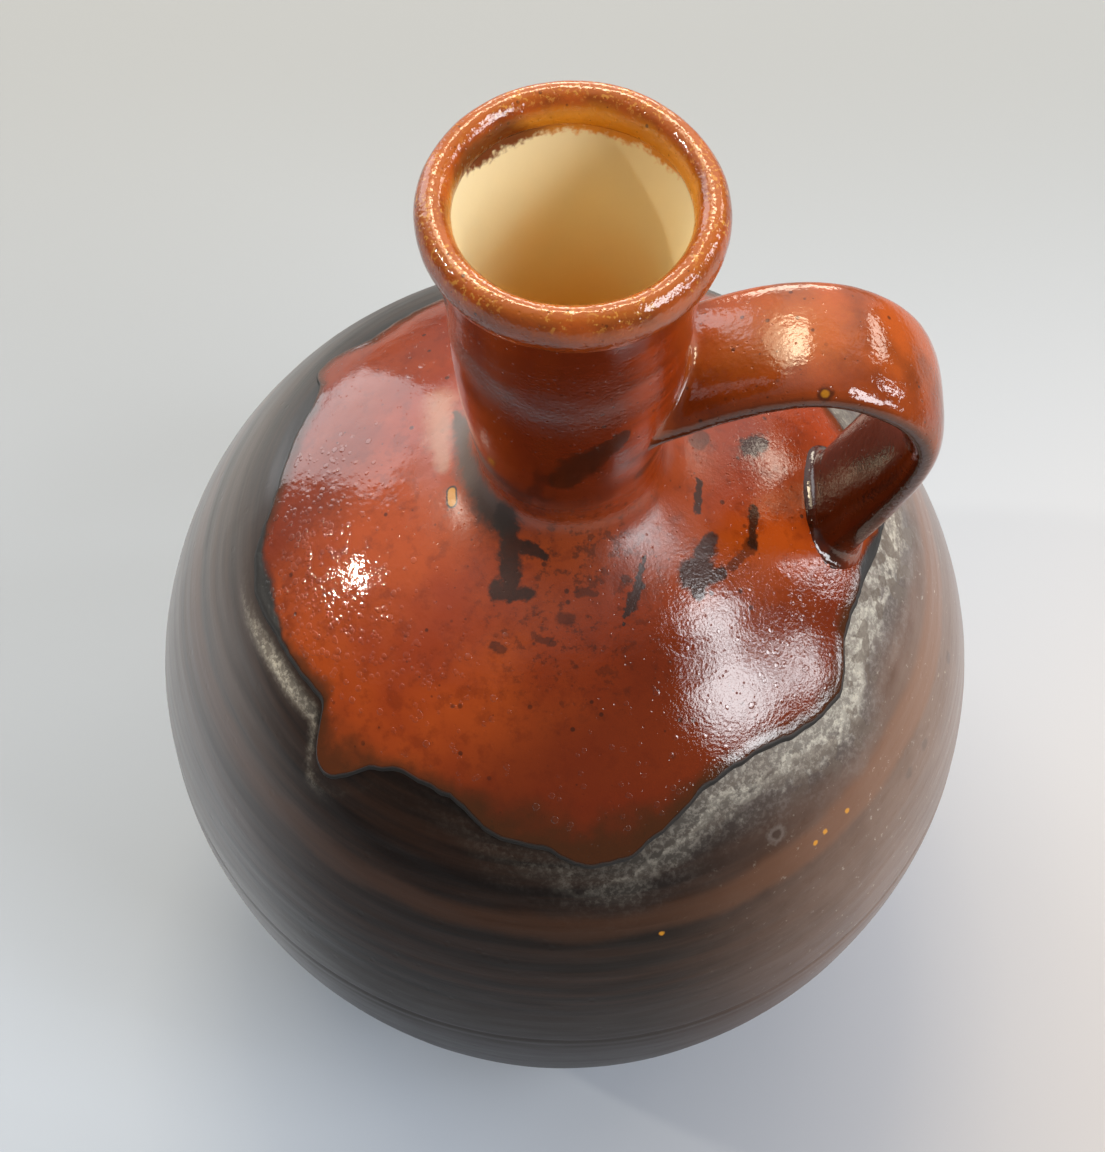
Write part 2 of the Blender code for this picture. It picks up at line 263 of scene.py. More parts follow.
# Soft boxes: degrees round from the handle and up, how far away, width and height, glow and tint.
LAMP_AIM = Vector((0, 0, 0.15))
LAMPS = {
    "upper_window": (-15, 48, 1.10, (0.24, 0.28), 12.5, (0.94, 0.97, 1.0)),
    "lower_window": (-30, 33, 1.10, (0.36, 0.34), 12.0, (0.94, 0.97, 1.0)),
    "low_window": (-13, 22, 1.10, (0.19, 0.22), 10.5, (0.94, 0.97, 1.0)),
    "side_window": (14, 24, 1.10, (0.09, 0.38), 12.0, (0.96, 0.97, 1.0)),
    "crest_lamp": (126, 58, 1.25, (0.48, 0.42), 4.5, (1.0, 0.82, 0.52)),
    "glint_lamp": (175, 33, 1.20, (0.05, 0.05), 340, (1.0, 0.94, 0.80)),
    "strap_lamp": (37, 24, 1.25, (0.25, 0.20), 7.0, (1.0, 0.90, 0.76)),
    "top_lamp": (94, 60, 1.20, (0.34, 0.20), 18.0, (1.0, 0.83, 0.56)),
    "back_lamp": (90, 14, 1.30, (0.90, 0.26), 8.0, (1.0, 0.90, 0.74)),
    "left_wall": (136, 17, 1.30, (0.62, 1.00), 2.6, (0.88, 0.95, 1.0)),
    "back_wall": (72, 26, 1.30, (1.20, 1.20), 0.5, (1.0, 1.0, 1.0)),
}


def belly_section(angle, proud=0.0):
    """Radius and height of the belly's glaze this far down from its top, this far above its face."""
    rise = np.where(np.asarray(angle) < QUARTER_TURN, SHOULDER_RISE, BELLY_DROP)
    return (BELLY_RADIUS + proud) * np.sin(angle), BELLY_HEIGHT + (rise + proud) * np.cos(angle)


def belly_line(angles, proud=0.0):
    """The same as a list of points, for a section."""
    return np.transpose(belly_section(angles, proud)).tolist()


def angle_at_height(height, proud=0.0):
    """How far down from the top the belly's glaze has this height."""
    rise = SHOULDER_RISE if height > BELLY_HEIGHT else BELLY_DROP
    return math.acos((height - BELLY_HEIGHT) / (rise + proud))


def neck_radius(height):
    """The glazed neck: it widens quickly above its root, stands upright, and flares under the lip."""
    taper = np.clip((height - NECK_BASE) / NECK_TAPER_HEIGHT, 0, 1)
    flare = np.clip((height - NECK_WAIST) / NECK_FLARE_HEIGHT, 0, 2)
    widened = (NECK_RADIUS - NECK_ROOT_RADIUS) * (1 - (1 - taper) ** 2)
    return NECK_ROOT_RADIUS + widened + (NECK_TOP_RADIUS - NECK_RADIUS) * flare**2


def throat_radius(height):
    """The lined inside of the neck, whose wall thins towards the lip."""
    share = np.clip((height - NECK_BASE) / (NECK_TOP - NECK_BASE), 0, 1)
    return neck_radius(height) - NECK_ROOT_WALL - (NECK_TOP_WALL - NECK_ROOT_WALL) * share


def pour_end(azimuth):
    """How far down from the top the poured glaze reaches on this side, its corners softened."""
    around, down = np.radians(np.array(POUR_EDGE)).T
    total = sum(weight for _, weight in SOFTENING)
    softened = 0
    for shift, weight in SOFTENING:
        turned = np.asarray(azimuth) + math.radians(shift)
        softened = softened + weight / total * np.interp(turned, around, down, period=math.tau)
    return softened


def run_length(end):
    """0 where the poured glaze ends high on the shoulder, up to 1 in its longest runs."""
    return np.clip((np.degrees(end) - SHORT_RUN) / (LONG_RUN - SHORT_RUN), 0, 1)


def lumps(places, *layers):
    """Smooth unevenness over the places, in layers of a height, a size of lump and a count of octaves."""
    relief = 0
    for height, size, octaves in layers:
        swells = [noise.fractal(Vector(place) / size, 1.0, 2.0, octaves) for place in places]
        relief = relief + height * np.array(swells)
    return relief


def bump(values, middle, reach):
    """A round hill over the values, 1 at its middle."""
    return np.exp(-(((values - middle) / reach) ** 2))


def facing(azimuth, middle, reach):
    """A round hill over one side of the bottle, given in degrees round from the handle."""
    return bump(azimuth, math.radians(middle), math.radians(reach))


def dark_width(azimuth):
    """How wide the black edge of the poured glaze is: wider on the far left and by the handle's root."""
    left = LEFT_DARK_EDGE * facing(azimuth, *LEFT_DARK_SIDE)
    return DARK_EDGE + left + ROOT_DARK_EDGE * facing(azimuth, *ROOT_DARK_SIDE)


def points_of(piece):
    places = np.empty(len(piece.data.vertices) * 3, np.float32)
    piece.data.vertices.foreach_get("co", places)
    return places.reshape(-1, 3).astype(float)


def normals_of(piece):
    normals = np.empty(len(piece.data.vertices) * 3, np.float32)
    piece.data.vertex_normals.foreach_get("vector", normals)
    return normals.reshape(-1, 3).astype(float)


def azimuth_of(places):
    return np.arctan2(places[:, 1], places[:, 0])


def move_points(piece, places):
    piece.data.vertices.foreach_set("co", places.astype(np.float32).ravel())
    piece.data.update()


def swell(piece, places, relief):
    """Raises each place of a piece by this much along its normal."""
    places += normals_of(piece) * relief[:, None]
    move_points(piece, places)


def mark(piece, name, values):
    """Writes one number at each point of a piece, for its finish to read."""
    attribute = piece.data.attributes.get(name) or piece.data.attributes.new(name, "FLOAT", "POINT")
    attribute.data.foreach_set("value", np.asarray(values, np.float32))


def apply(piece, kind, **settings):
    """Puts a modifier of this kind on the piece and applies it."""
    bpy.ops.object.modifier_add(type=kind)
    modifier = piece.modifiers[-1]
    for name, value in settings.items():
        setattr(modifier, name, value)
    bpy.ops.object.modifier_apply(modifier=modifier.name)


def begin(name, primitive, **size):
    """Starts a piece from a primitive, with nothing else selected."""
    bpy.ops.object.select_all(action="DESELECT")
    primitive(**size)
    piece = bpy.context.object
    piece.name = piece.data.name = name
    return piece


def close_and_smooth():
    """Merges the seams of the piece, turns its faces outwards and leaves it smooth."""
    bpy.ops.object.mode_set(mode="EDIT")
    bpy.ops.mesh.select_all(action="SELECT")
    bpy.ops.mesh.remove_doubles(threshold=SEAM)
    bpy.ops.mesh.normals_make_consistent(inside=False)
    bpy.ops.mesh.faces_shade_smooth()
    bpy.ops.object.mode_set(mode="OBJECT")


def thrown(name, section, turns):
    """A piece turned on the wheel: one point is pulled round the section, which is then spun round Z.

    Gives the piece, its places, and the station of each place: its number in the section.
    """
    piece = begin(name, bpy.ops.mesh.primitive_plane_add, size=BELLY_RADIUS)
    bpy.ops.object.mode_set(mode="EDIT")
    bpy.ops.mesh.merge(type="CENTER")
    before = (0.0, 0.0)
    for number, (radius, height) in enumerate([*section, section[0]]):
        step = (radius - before[0], 0, height - before[1])
        if number:
            bpy.ops.mesh.extrude_vertices_move(TRANSFORM_OT_translate={"value": step})
        else:
            bpy.ops.transform.translate(value=step)
        before = (radius, height)
    bpy.ops.object.mode_set(mode="OBJECT")
    mark(piece, "station", np.arange(len(section) + 1) % len(section))
    apply(piece, "SCREW", angle=math.tau, steps=turns, render_steps=turns, axis="Z")
    close_and_smooth()
    stations = np.empty(len(piece.data.vertices), np.float32)
    piece.data.attributes["station"].data.foreach_get("value", stations)
    return piece, points_of(piece), np.rint(stations).astype(int)


def on_axis(radius, azimuth, height):
    """Places this far out from the axis, round it and up it."""
    return np.stack((radius * np.cos(azimuth), radius * np.sin(azimuth), height), axis=-1)


def spot(out, around, height):
    """One such place, in degrees round from the handle."""
    return tuple(on_axis(out, math.radians(around), height).tolist())


def on_shoulder(around, down, proud=POUR_THICKNESS):
    """A point of the shoulder, in degrees round from the handle and down from the top."""
    radius, height = belly_section(math.radians(down), proud)
    return spot(radius, around, height)


def make_belly():
    """The belly's glaze with its throwing lines, two grooves and the crust under the poured edge."""
    face = belly_line(np.linspace(COAT_TOP, angle_at_height(BARE_FOOT), BELLY_ROWS))
    back_angles = np.linspace(angle_at_height(BARE_FOOT, -GLAZE), COAT_TOP, BELLY_BACK_ROWS)
    back = belly_line(back_angles, -GLAZE)
    piece, places, station = thrown("belly_coat", face + back, BELLY_TURNS)
    outside = station < BELLY_ROWS
    azimuth = azimuth_of(places)
    height = places[:, 2]
    spiral = height + LINE_PITCH * azimuth / math.tau
    lines = np.stack((0 * height, LINE_SWAY * np.cos(azimuth), spiral), axis=-1)
    relief = lumps(lines, *BELLY_LINES) + lumps(places, BELLY_SWELLS)
    relief -= sum(depth * bump(height, level, half_width) for level, half_width, depth in GROOVES)
    angle = np.arccos(np.clip((height - BELLY_HEIGHT) / SHOULDER_RISE, -1, 1))
    below = BELLY_RADIUS * (angle - pour_end(azimuth))
    crust = np.clip(1 - below / CRUST_REACH, 0, 1) * facing(azimuth, *CRUST_SIDE)
    crust += LEFT_CRUST * bump(below, *LEFT_CRUST_BAND) * facing(azimuth, *LEFT_CRUST_SIDE)
    relief += CRUST_HEIGHT * crust * np.clip(lumps(places, CRUST_LUMPS) + CRUST_FILL, 0, 1)
    hem = np.clip(lumps(on_axis(HEM_RING, azimuth, 0 * azimuth), HEM_WAVES), *HEM_RANGE)
    swell(piece, places, relief * outside)
    places[:, 2] += hem * np.clip((HEM_TOP - height) / HEM_FADE, 0, 1)
    move_points(piece, places)
    mark(piece, "below_pour", below)
    mark(piece, "crust", crust)
    return piece


def pour_fillet():
    """The section where the neck's glaze runs out into the shoulder's."""
    start_height = NECK_BASE + FILLET_TOP
    start = Vector((neck_radius(start_height), start_height))
    lean = neck_radius(start_height + SEAM) - start.x
    end_angle = math.asin(FILLET_RADIUS / (BELLY_RADIUS + POUR_THICKNESS))
    end = Vector([float(value) for value in belly_section(end_angle, POUR_THICKNESS)])
    slope = Vector((math.cos(end_angle), -math.sin(end_angle)))
    leaving = Vector((-lean, -SEAM)).normalized() * FILLET_PULL
    points = interpolate_bezier(start, start + leaving, end - slope * FILLET_PULL, end, FILLET_POINTS)
    return [tuple(point[:2]) for point in points], end_angle


def shoulder_rows(end, row, top):
    """Angle, height above the belly and gap from the edge of these rows of the poured shoulder.

    The rows run from the angle of the shoulder's top down to the angle of the edge.
    """
    share = SHOULDER_SHARES[np.clip(row, 0, len(SHOULDER_SHARES) - 1)]
    edge_row = np.clip(row - len(SHOULDER_SHARES), 0, len(EDGE_GAPS) - 1)
    skirt = end - EDGE_GAPS[0] / BELLY_RADIUS
    by_edge = end - EDGE_GAPS[edge_row] / BELLY_RADIUS
    angle = np.where(row >= len(SHOULDER_SHARES), by_edge, top + (skirt - top) * share)
    gap = BELLY_RADIUS * (end - angle)
    nose = np.sin(QUARTER_TURN * np.clip(gap / NOSE_WIDTH, 0, 1))
    return angle, nose * (POUR_THICKNESS + ROLL_HEIGHT * bump(gap, ROLL_MIDDLE, ROLL_WIDTH)), gap


def make_poured_coat():
    """The rust glaze over the neck and shoulder, with its runs and the roll along their edge."""
    fillet, top = pour_fillet()
    heights = np.linspace(NECK_TOP + NECK_TUCK, NECK_BASE + FILLET_TOP, NECK_ROWS)
    neck = [(float(neck_radius(height)), float(height)) for height in heights] + fillet[1:]
    count = len(SHOULDER_SHARES) + len(EDGE_GAPS)
    rows = len(neck) + count
    angle, proud, _ = shoulder_rows(np.full(count, USUAL_END), np.arange(count), top)
    under = belly_line(USUAL_END + (top - USUAL_END) * UNDER_SHARES, -POUR_SINK)
    neck_back = [(radius - GLAZE, height) for radius, height in reversed(neck[:-1:NECK_BACK_STEP])]
    section = neck + belly_line(angle, proud) + under + neck_back
    piece, places, station = thrown("poured_coat", section, POUR_TURNS)

    azimuth = azimuth_of(places)
    end = pour_end(azimuth) + lumps(on_axis(1.0, azimuth, 0 * azimuth), EDGE_WAVES)
    outside = station < rows
    over_shoulder = (station >= len(neck)) & outside
    under_shoulder = ~outside & (station < rows + len(UNDER_SHARES))
    angle, proud, gap = shoulder_rows(end, station - len(neck), top)
    share = UNDER_SHARES[np.clip(station - rows, 0, len(UNDER_SHARES) - 1)]
    angle = np.where(under_shoulder, end + (top - end) * share, angle)
    radius, height = belly_section(angle, np.where(under_shoulder, -POUR_SINK, proud))
    moved = over_shoulder | under_shoulder
    places[moved] = on_axis(radius, azimuth, height)[moved]
    move_points(piece, places)

    edge_gap = np.where(over_shoulder, gap, np.where(outside, FAR_FROM_EDGE, 0.0))
    steady = np.clip(edge_gap / STEADY_EDGE, 0, 1) * outside
    rings = np.stack((0 * height, RING_SWAY * np.cos(azimuth), places[:, 2]), axis=-1)
    up_neck = np.clip((places[:, 2] - NECK_BASE + NECK_FADE_DROP) / NECK_FADE, 0, 1)
    relief = up_neck * lumps(rings, *NECK_LINES) + (1 - up_neck) * lumps(places, *SHOULDER_SWELLS)
    swell(piece, places, relief * steady)
    mark(piece, "edge_gap", edge_gap)
    mark(piece, "dark_edge", edge_gap / dark_width(azimuth))
    mark(piece, "run", run_length(end))
    return piece


def lip_arc(start, end, depth, count):
    """The lip's oval from one angle to another, this deep under the face of its glaze."""
    turn = np.linspace(start, end, count)
    radius = LIP_RADIUS + (LIP_HALF_WIDTH - depth) * np.cos(turn)
    return np.stack((radius, LIP_HEIGHT + (LIP_HALF_HEIGHT - depth) * np.sin(turn)), axis=-1).tolist()


def make_lip():
    """The rolled lip's glaze: an oval roll, a little uneven, tucked in over the neck and the lining."""
    face = lip_arc(LIP_INNER_END, LIP_OUTER_END, 0, LIP_ROWS)
    back = lip_arc(LIP_OUTER_END, LIP_INNER_END, GLAZE, LIP_BACK_ROWS)
    piece, places, station = thrown("lip_coat", face + back, LIP_TURNS)
    swell(piece, places, lumps(places, *LIP_SWELLS) * (station < LIP_ROWS))
    out = (np.hypot(*places[:, :2].T) - LIP_RADIUS) / LIP_HALF_WIDTH
    turn = np.arctan2((places[:, 2] - LIP_HEIGHT) / LIP_HALF_HEIGHT, out)
    mark(piece, "roll", np.mod(turn + QUARTER_TURN, math.tau) - QUARTER_TURN)
    return piece


def make_lining():
    """The cream lining of the neck and belly, down to the middle of the floor."""
    hole = float(throat_radius(NECK_BASE))

    def face(extra):
        """The section of the lining's face, or of its back, this much further into the wall."""
        depth = LINING_DEPTH - extra
        start = math.asin((hole + extra) / (BELLY_RADIUS - depth))
        end = angle_at_height(FLOOR_HEIGHT - extra, -depth)
        cup = belly_line(np.linspace(start, end, CUP_ROWS), -depth)
        heights = np.linspace(LIP_HEIGHT - LINING_TUCK, NECK_BASE, THROAT_ROWS)
        throat = [(float(throat_radius(height)) + extra, float(height)) for height in heights]
        return throat + cup + [(0.0, FLOOR_HEIGHT - extra)]

    section = face(0) + face(LINING)[::-1]
    piece, places, station = thrown("lining_coat", section, LINING_TURNS)
    inside = station < len(section) / 2
    rings = np.stack((0 * places[:, 0], RING_SWAY * places[:, 1], places[:, 2]), axis=-1)
    swell(piece, places, lumps(rings, LINING_LINES) * inside)
    return piece


def handle_path(count):
    """The strap's middle line: out of the neck, over its crest, down, and into the shoulder."""
    neck_height = LIP_HEIGHT - HANDLE_BELOW_LIP
    neck = float(neck_radius(neck_height))
    crest_height = neck_height + HANDLE_RISE
    outer_height = crest_height - HANDLE_OUTER_DROP
    root_angle = math.asin(HANDLE_ROOT_RADIUS / (BELLY_RADIUS + POUR_THICKNESS))
    root_height = float(belly_section(root_angle, POUR_THICKNESS)[1])
    reach_left = HANDLE_REACH - HANDLE_CREST_REACH
    drop_left = outer_height - root_height
    crest_run = HANDLE_CREST_REACH * NECK_PULL
    knots = (
        Vector((neck - HANDLE_EMBED, 0, neck_height - HANDLE_EMBED / 2)),
        Vector((neck + HANDLE_CREST_REACH, 0, crest_height)),
        Vector((neck + HANDLE_REACH, 0, outer_height)),
        Vector((HANDLE_ROOT_RADIUS - HANDLE_EMBED / 3, 0, root_height - HANDLE_EMBED)),
    )
    pulls = (
        (Vector((crest_run, 0, HANDLE_RISE / 2)), Vector((-crest_run, 0, 0))),
        (Vector((reach_left * TURN_PULL, 0, 0)), Vector((0, 0, HANDLE_OUTER_DROP * TURN_PULL))),
        (Vector((0, 0, -drop_left * ROOT_PULL)), Vector((HANDLE_EMBED / 2, 0, drop_left * ROOT_PULL))),
    )
    path = []
    for n, (leaving, arriving) in enumerate(pulls):
        start, end = knots[n], knots[n + 1]
        path += interpolate_bezier(start, start + leaving, end + arriving, end, count)[n > 0 :]
    return np.array([tuple(point) for point in path])


def eased(values, share):
    """A size along the strap, given at its neck end, its crest and its shoulder end."""
    start, middle, end = values
    rise = np.sin(np.pi * share)
    return np.where(share < 0.5, start + (middle - start) * rise, end + (middle - end) * rise)


def above_skin(places):
    """How far each place stands off the poured glaze: the neck's if it is high up, else the shoulder's."""
    radius = np.hypot(places[..., 0], places[..., 1])
    off_neck = radius - neck_radius(places[..., 2])
    outer, rise = BELLY_RADIUS + POUR_THICKNESS, SHOULDER_RISE + POUR_THICKNESS
    off_shoulder = (np.hypot(radius / outer, (places[..., 2] - BELLY_HEIGHT) / rise) - 1) * outer
    return np.where(places[..., 2] > NECK_BASE + NECK_SKIN, off_neck, off_shoulder)


def squared_off(wave):
    """A cosine or sine pushed outwards, which fills the corners of the strap's oval."""
    return math.copysign(abs(wave) ** (2 / STRAP_SQUARENESS), wave)


def make_strap():
    """The glazed strap: a straight tube, bent along its path and flared onto the neck and shoulder."""
    path = handle_path(STRAP_PATH_POINTS)
    share = np.linspace(0, 1, len(path))
    along = np.gradient(path, axis=0)
    along /= np.linalg.norm(along, axis=1)[:, None]
    outward = np.stack((-along[:, 2], 0 * along[:, 1], along[:, 0]), axis=-1)
    half_width = eased(STRAP_WIDTHS, share) / 2
    half_thickness = eased(STRAP_THICKNESSES, share) / 2
    rows = STRAP_ROWS + 2 * ROOT_FILLET_ROWS + 2

    circle = bpy.ops.mesh.primitive_circle_add
    piece = begin("strap_coat", circle, vertices=STRAP_SIDES, radius=1, fill_type="NGON")
    bpy.ops.object.mode_set(mode="EDIT")
    for _ in range(rows - 1):
        bpy.ops.mesh.extrude_region_move(TRANSFORM_OT_translate={"value": (0, 0, 1)})
    bpy.ops.object.mode_set(mode="OBJECT")

    straight = points_of(piece)
    row = np.rint(straight[:, 2]).astype(int)
    side = np.rint(azimuth_of(straight) / math.tau * STRAP_SIDES)
    side = np.mod(side, STRAP_SIDES).astype(int)
    rings = np.empty((STRAP_SIDES, rows, 3))
    for n in range(STRAP_SIDES):
        turn = math.tau * n / STRAP_SIDES
        line = path + outward * (squared_off(math.sin(turn)) * half_thickness)[:, None]
        line[:, 1] += squared_off(math.cos(turn)) * half_width
        rings[n] = strap_side(line, path)
    mark(piece, "along", row / (rows - 1))
    mark(piece, "across", np.cos(math.tau * side / STRAP_SIDES))
    mark(piece, "over", np.sin(math.tau * side / STRAP_SIDES))
    move_points(piece, rings[side, row])
    close_and_smooth()
    places = points_of(piece)
    free = np.clip(above_skin(places) / STEADY_ROOT, 0, 1)
    swell(piece, places, lumps(places, *STRAP_SWELLS) * free)
    return piece


def resampled(line):
    """The same line, cut finely."""
    fine = np.linspace(0, len(line) - 1, STRAP_SAMPLES)
    return np.stack([np.interp(fine, np.arange(len(line)), values) for values in line.T], axis=-1)


def skin_normal(place):
    """The way straight off the neck or the shoulder at this place."""
    steps = np.eye(3) * SKIN_STEP
    slope = np.array([above_skin(place + step) - above_skin(place - step) for step in steps])
    slope = slope / (2 * SKIN_STEP)
    return slope / np.linalg.norm(slope)


def strap_side(line, path):
    """One long side of the strap, from under the neck's glaze to under the shoulder's, with fillets."""
    dense, middle = resampled(line), resampled(path)
    height = above_skin(dense)
    half = len(dense) // 2
    ends = []
    for order in (np.arange(half, -1, -1), np.arange(half, len(dense))):
        meets = order[np.argmax(height[order] < 0)] if (height[order] < 0).any() else order[-1]
        leaves = order[np.argmax(height[order] < ROOT_FILLET)]
        touch = dense[meets]
        normal = skin_normal(touch)
        spread = touch - middle[meets]
        spread -= normal * (spread @ normal)
        spread /= np.linalg.norm(spread)
        landing = touch + spread * ROOT_FILLET
        landing -= normal * (above_skin(landing) + LANDING_SINK)
        bend = np.linspace(0, 1, ROOT_FILLET_ROWS + 1)[1:, None]
        fillet = (1 - bend) ** 2 * dense[leaves] + 2 * bend * (1 - bend) * touch + bend**2 * landing
        sunk = landing - normal * END_SINK - spread * END_TUCK
        ends.append((leaves, np.vstack((fillet, sunk))))
    (first, neck_end), (last, shoulder_end) = ends
    body = dense[np.rint(np.linspace(first, last, STRAP_ROWS)).astype(int)]
    return np.vstack((neck_end[::-1], body, shoulder_end))


def heading(around, down):
    """The way out from the axis that is this far round from the handle and down from upright."""
    return Vector((math.sin(down) * math.cos(around), math.sin(down) * math.sin(around), math.cos(down)))


def make_dome():
    """One round blister, cut off below and sharpened towards its top."""
    sphere = bpy.ops.mesh.primitive_uv_sphere_add
    piece = begin("glaze_blisters", sphere, segments=BLISTER_SEGMENTS, ring_count=BLISTER_RINGS, radius=1)
    bpy.ops.object.mode_set(mode="EDIT")
    bpy.ops.mesh.select_all(action="DESELECT")
    bpy.ops.object.mode_set(mode="OBJECT")
    for point in piece.data.vertices:
        point.select = point.co.z < BLISTER_CUT
    bpy.ops.object.mode_set(mode="EDIT")
    bpy.ops.mesh.delete(type="VERT")
    bpy.ops.mesh.select_all(action="SELECT")
    bpy.ops.mesh.fill_holes(sides=0)
    bpy.ops.object.mode_set(mode="OBJECT")
    dome = points_of(piece)
    dome[:, 2] = np.where(dome[:, 2] > 0, dome[:, 2] ** 2, dome[:, 2])
    return piece, dome


def make_blisters():
    """Small blisters in the poured glaze: one dome, copied over the shoulder and sunk into it."""
    piece, dome = make_dome()
    count = sum(cluster[-1] for cluster in BLISTERS)
    apply(piece, "ARRAY", count=count, relative_offset_displace=(2, 0, 0))
    draw = random.Random(BLISTER_SEED)
    places, edges = [], []
    for around, down, wide, tall, number in BLISTERS:
        for _ in range(number):
            azimuth = math.radians(around + draw.gauss(0, wide))
            angle = math.radians(down + draw.gauss(0, tall))
            end = float(pour_end(azimuth))
            angle = min(angle, end - BLISTER_INSET / BELLY_RADIUS)
            gap = BELLY_RADIUS * (end - angle)
            edges.append((gap, gap / dark_width(azimuth), run_length(end)))
            radius = draw.uniform(*BLISTER_RADII) * draw.uniform(*BLISTER_SCALES)
            up = heading(azimuth, angle)
            middle = Vector(on_shoulder(math.degrees(azimuth), math.degrees(angle)))
            middle += up * float(lumps([middle], *SHOULDER_SWELLS)[0])
            turn = np.array(up.to_track_quat("Z", "Y").to_matrix())
            size = (radius, radius, radius * draw.uniform(*BLISTER_SQUAT))
            places.append((dome * size) @ turn.T + np.array(middle))
    move_points(piece, np.vstack(places))
    for name, values in zip(("edge_gap", "dark_edge", "run"), np.transpose(edges)):
        mark(piece, name, np.repeat(values, len(dome)))
    close_and_smooth()
    return piece


def maths(operation, turned=False):
    """A method of a socket that adds a Math node for it and another value, in turn or turned round."""

    def add_node(self, other):
        pair = (other, self) if turned else (self, other)
        return self.nodes.node("Math", {"operation": operation}, dict(enumerate(pair)))

    return add_node


class Socket:
    """One output of a node. Arithmetic on it adds Math nodes."""

    def __init__(self, nodes, output):
        self.nodes = nodes
        self.output = output

    __add__ = maths("ADD")
    __radd__ = maths("ADD", turned=True)
    __sub__ = maths("SUBTRACT")
    __rsub__ = maths("SUBTRACT", turned=True)
    __mul__ = maths("MULTIPLY")
    __rmul__ = maths("MULTIPLY", turned=True)
    __truediv__ = maths("DIVIDE")
    most = maths("MAXIMUM")


class Nodes:
    """The nodes of one tree."""

    def __init__(self, tree):
        self.tree = tree

    def node(self, kind, settings=None, sockets=None, output=0):
        """Adds a node with these settings and sockets, and gives one of its outputs."""
        made = self.tree.nodes.new("ShaderNode" + kind)
        for name, value in (settings or {}).items():
            setattr(made, name, value)
        for name, value in (sockets or {}).items():
            self.feed(made.inputs[name], value)
        return Socket(self, made.outputs[output])

    def feed(self, slot, value):
        if isinstance(value, Socket):
            self.tree.links.new(value.output, slot)
        else:
            slot.default_value = value

    def vector(self, operation, *values, output=0):
        return self.node("VectorMath", {"operation": operation}, dict(enumerate(values)), output)


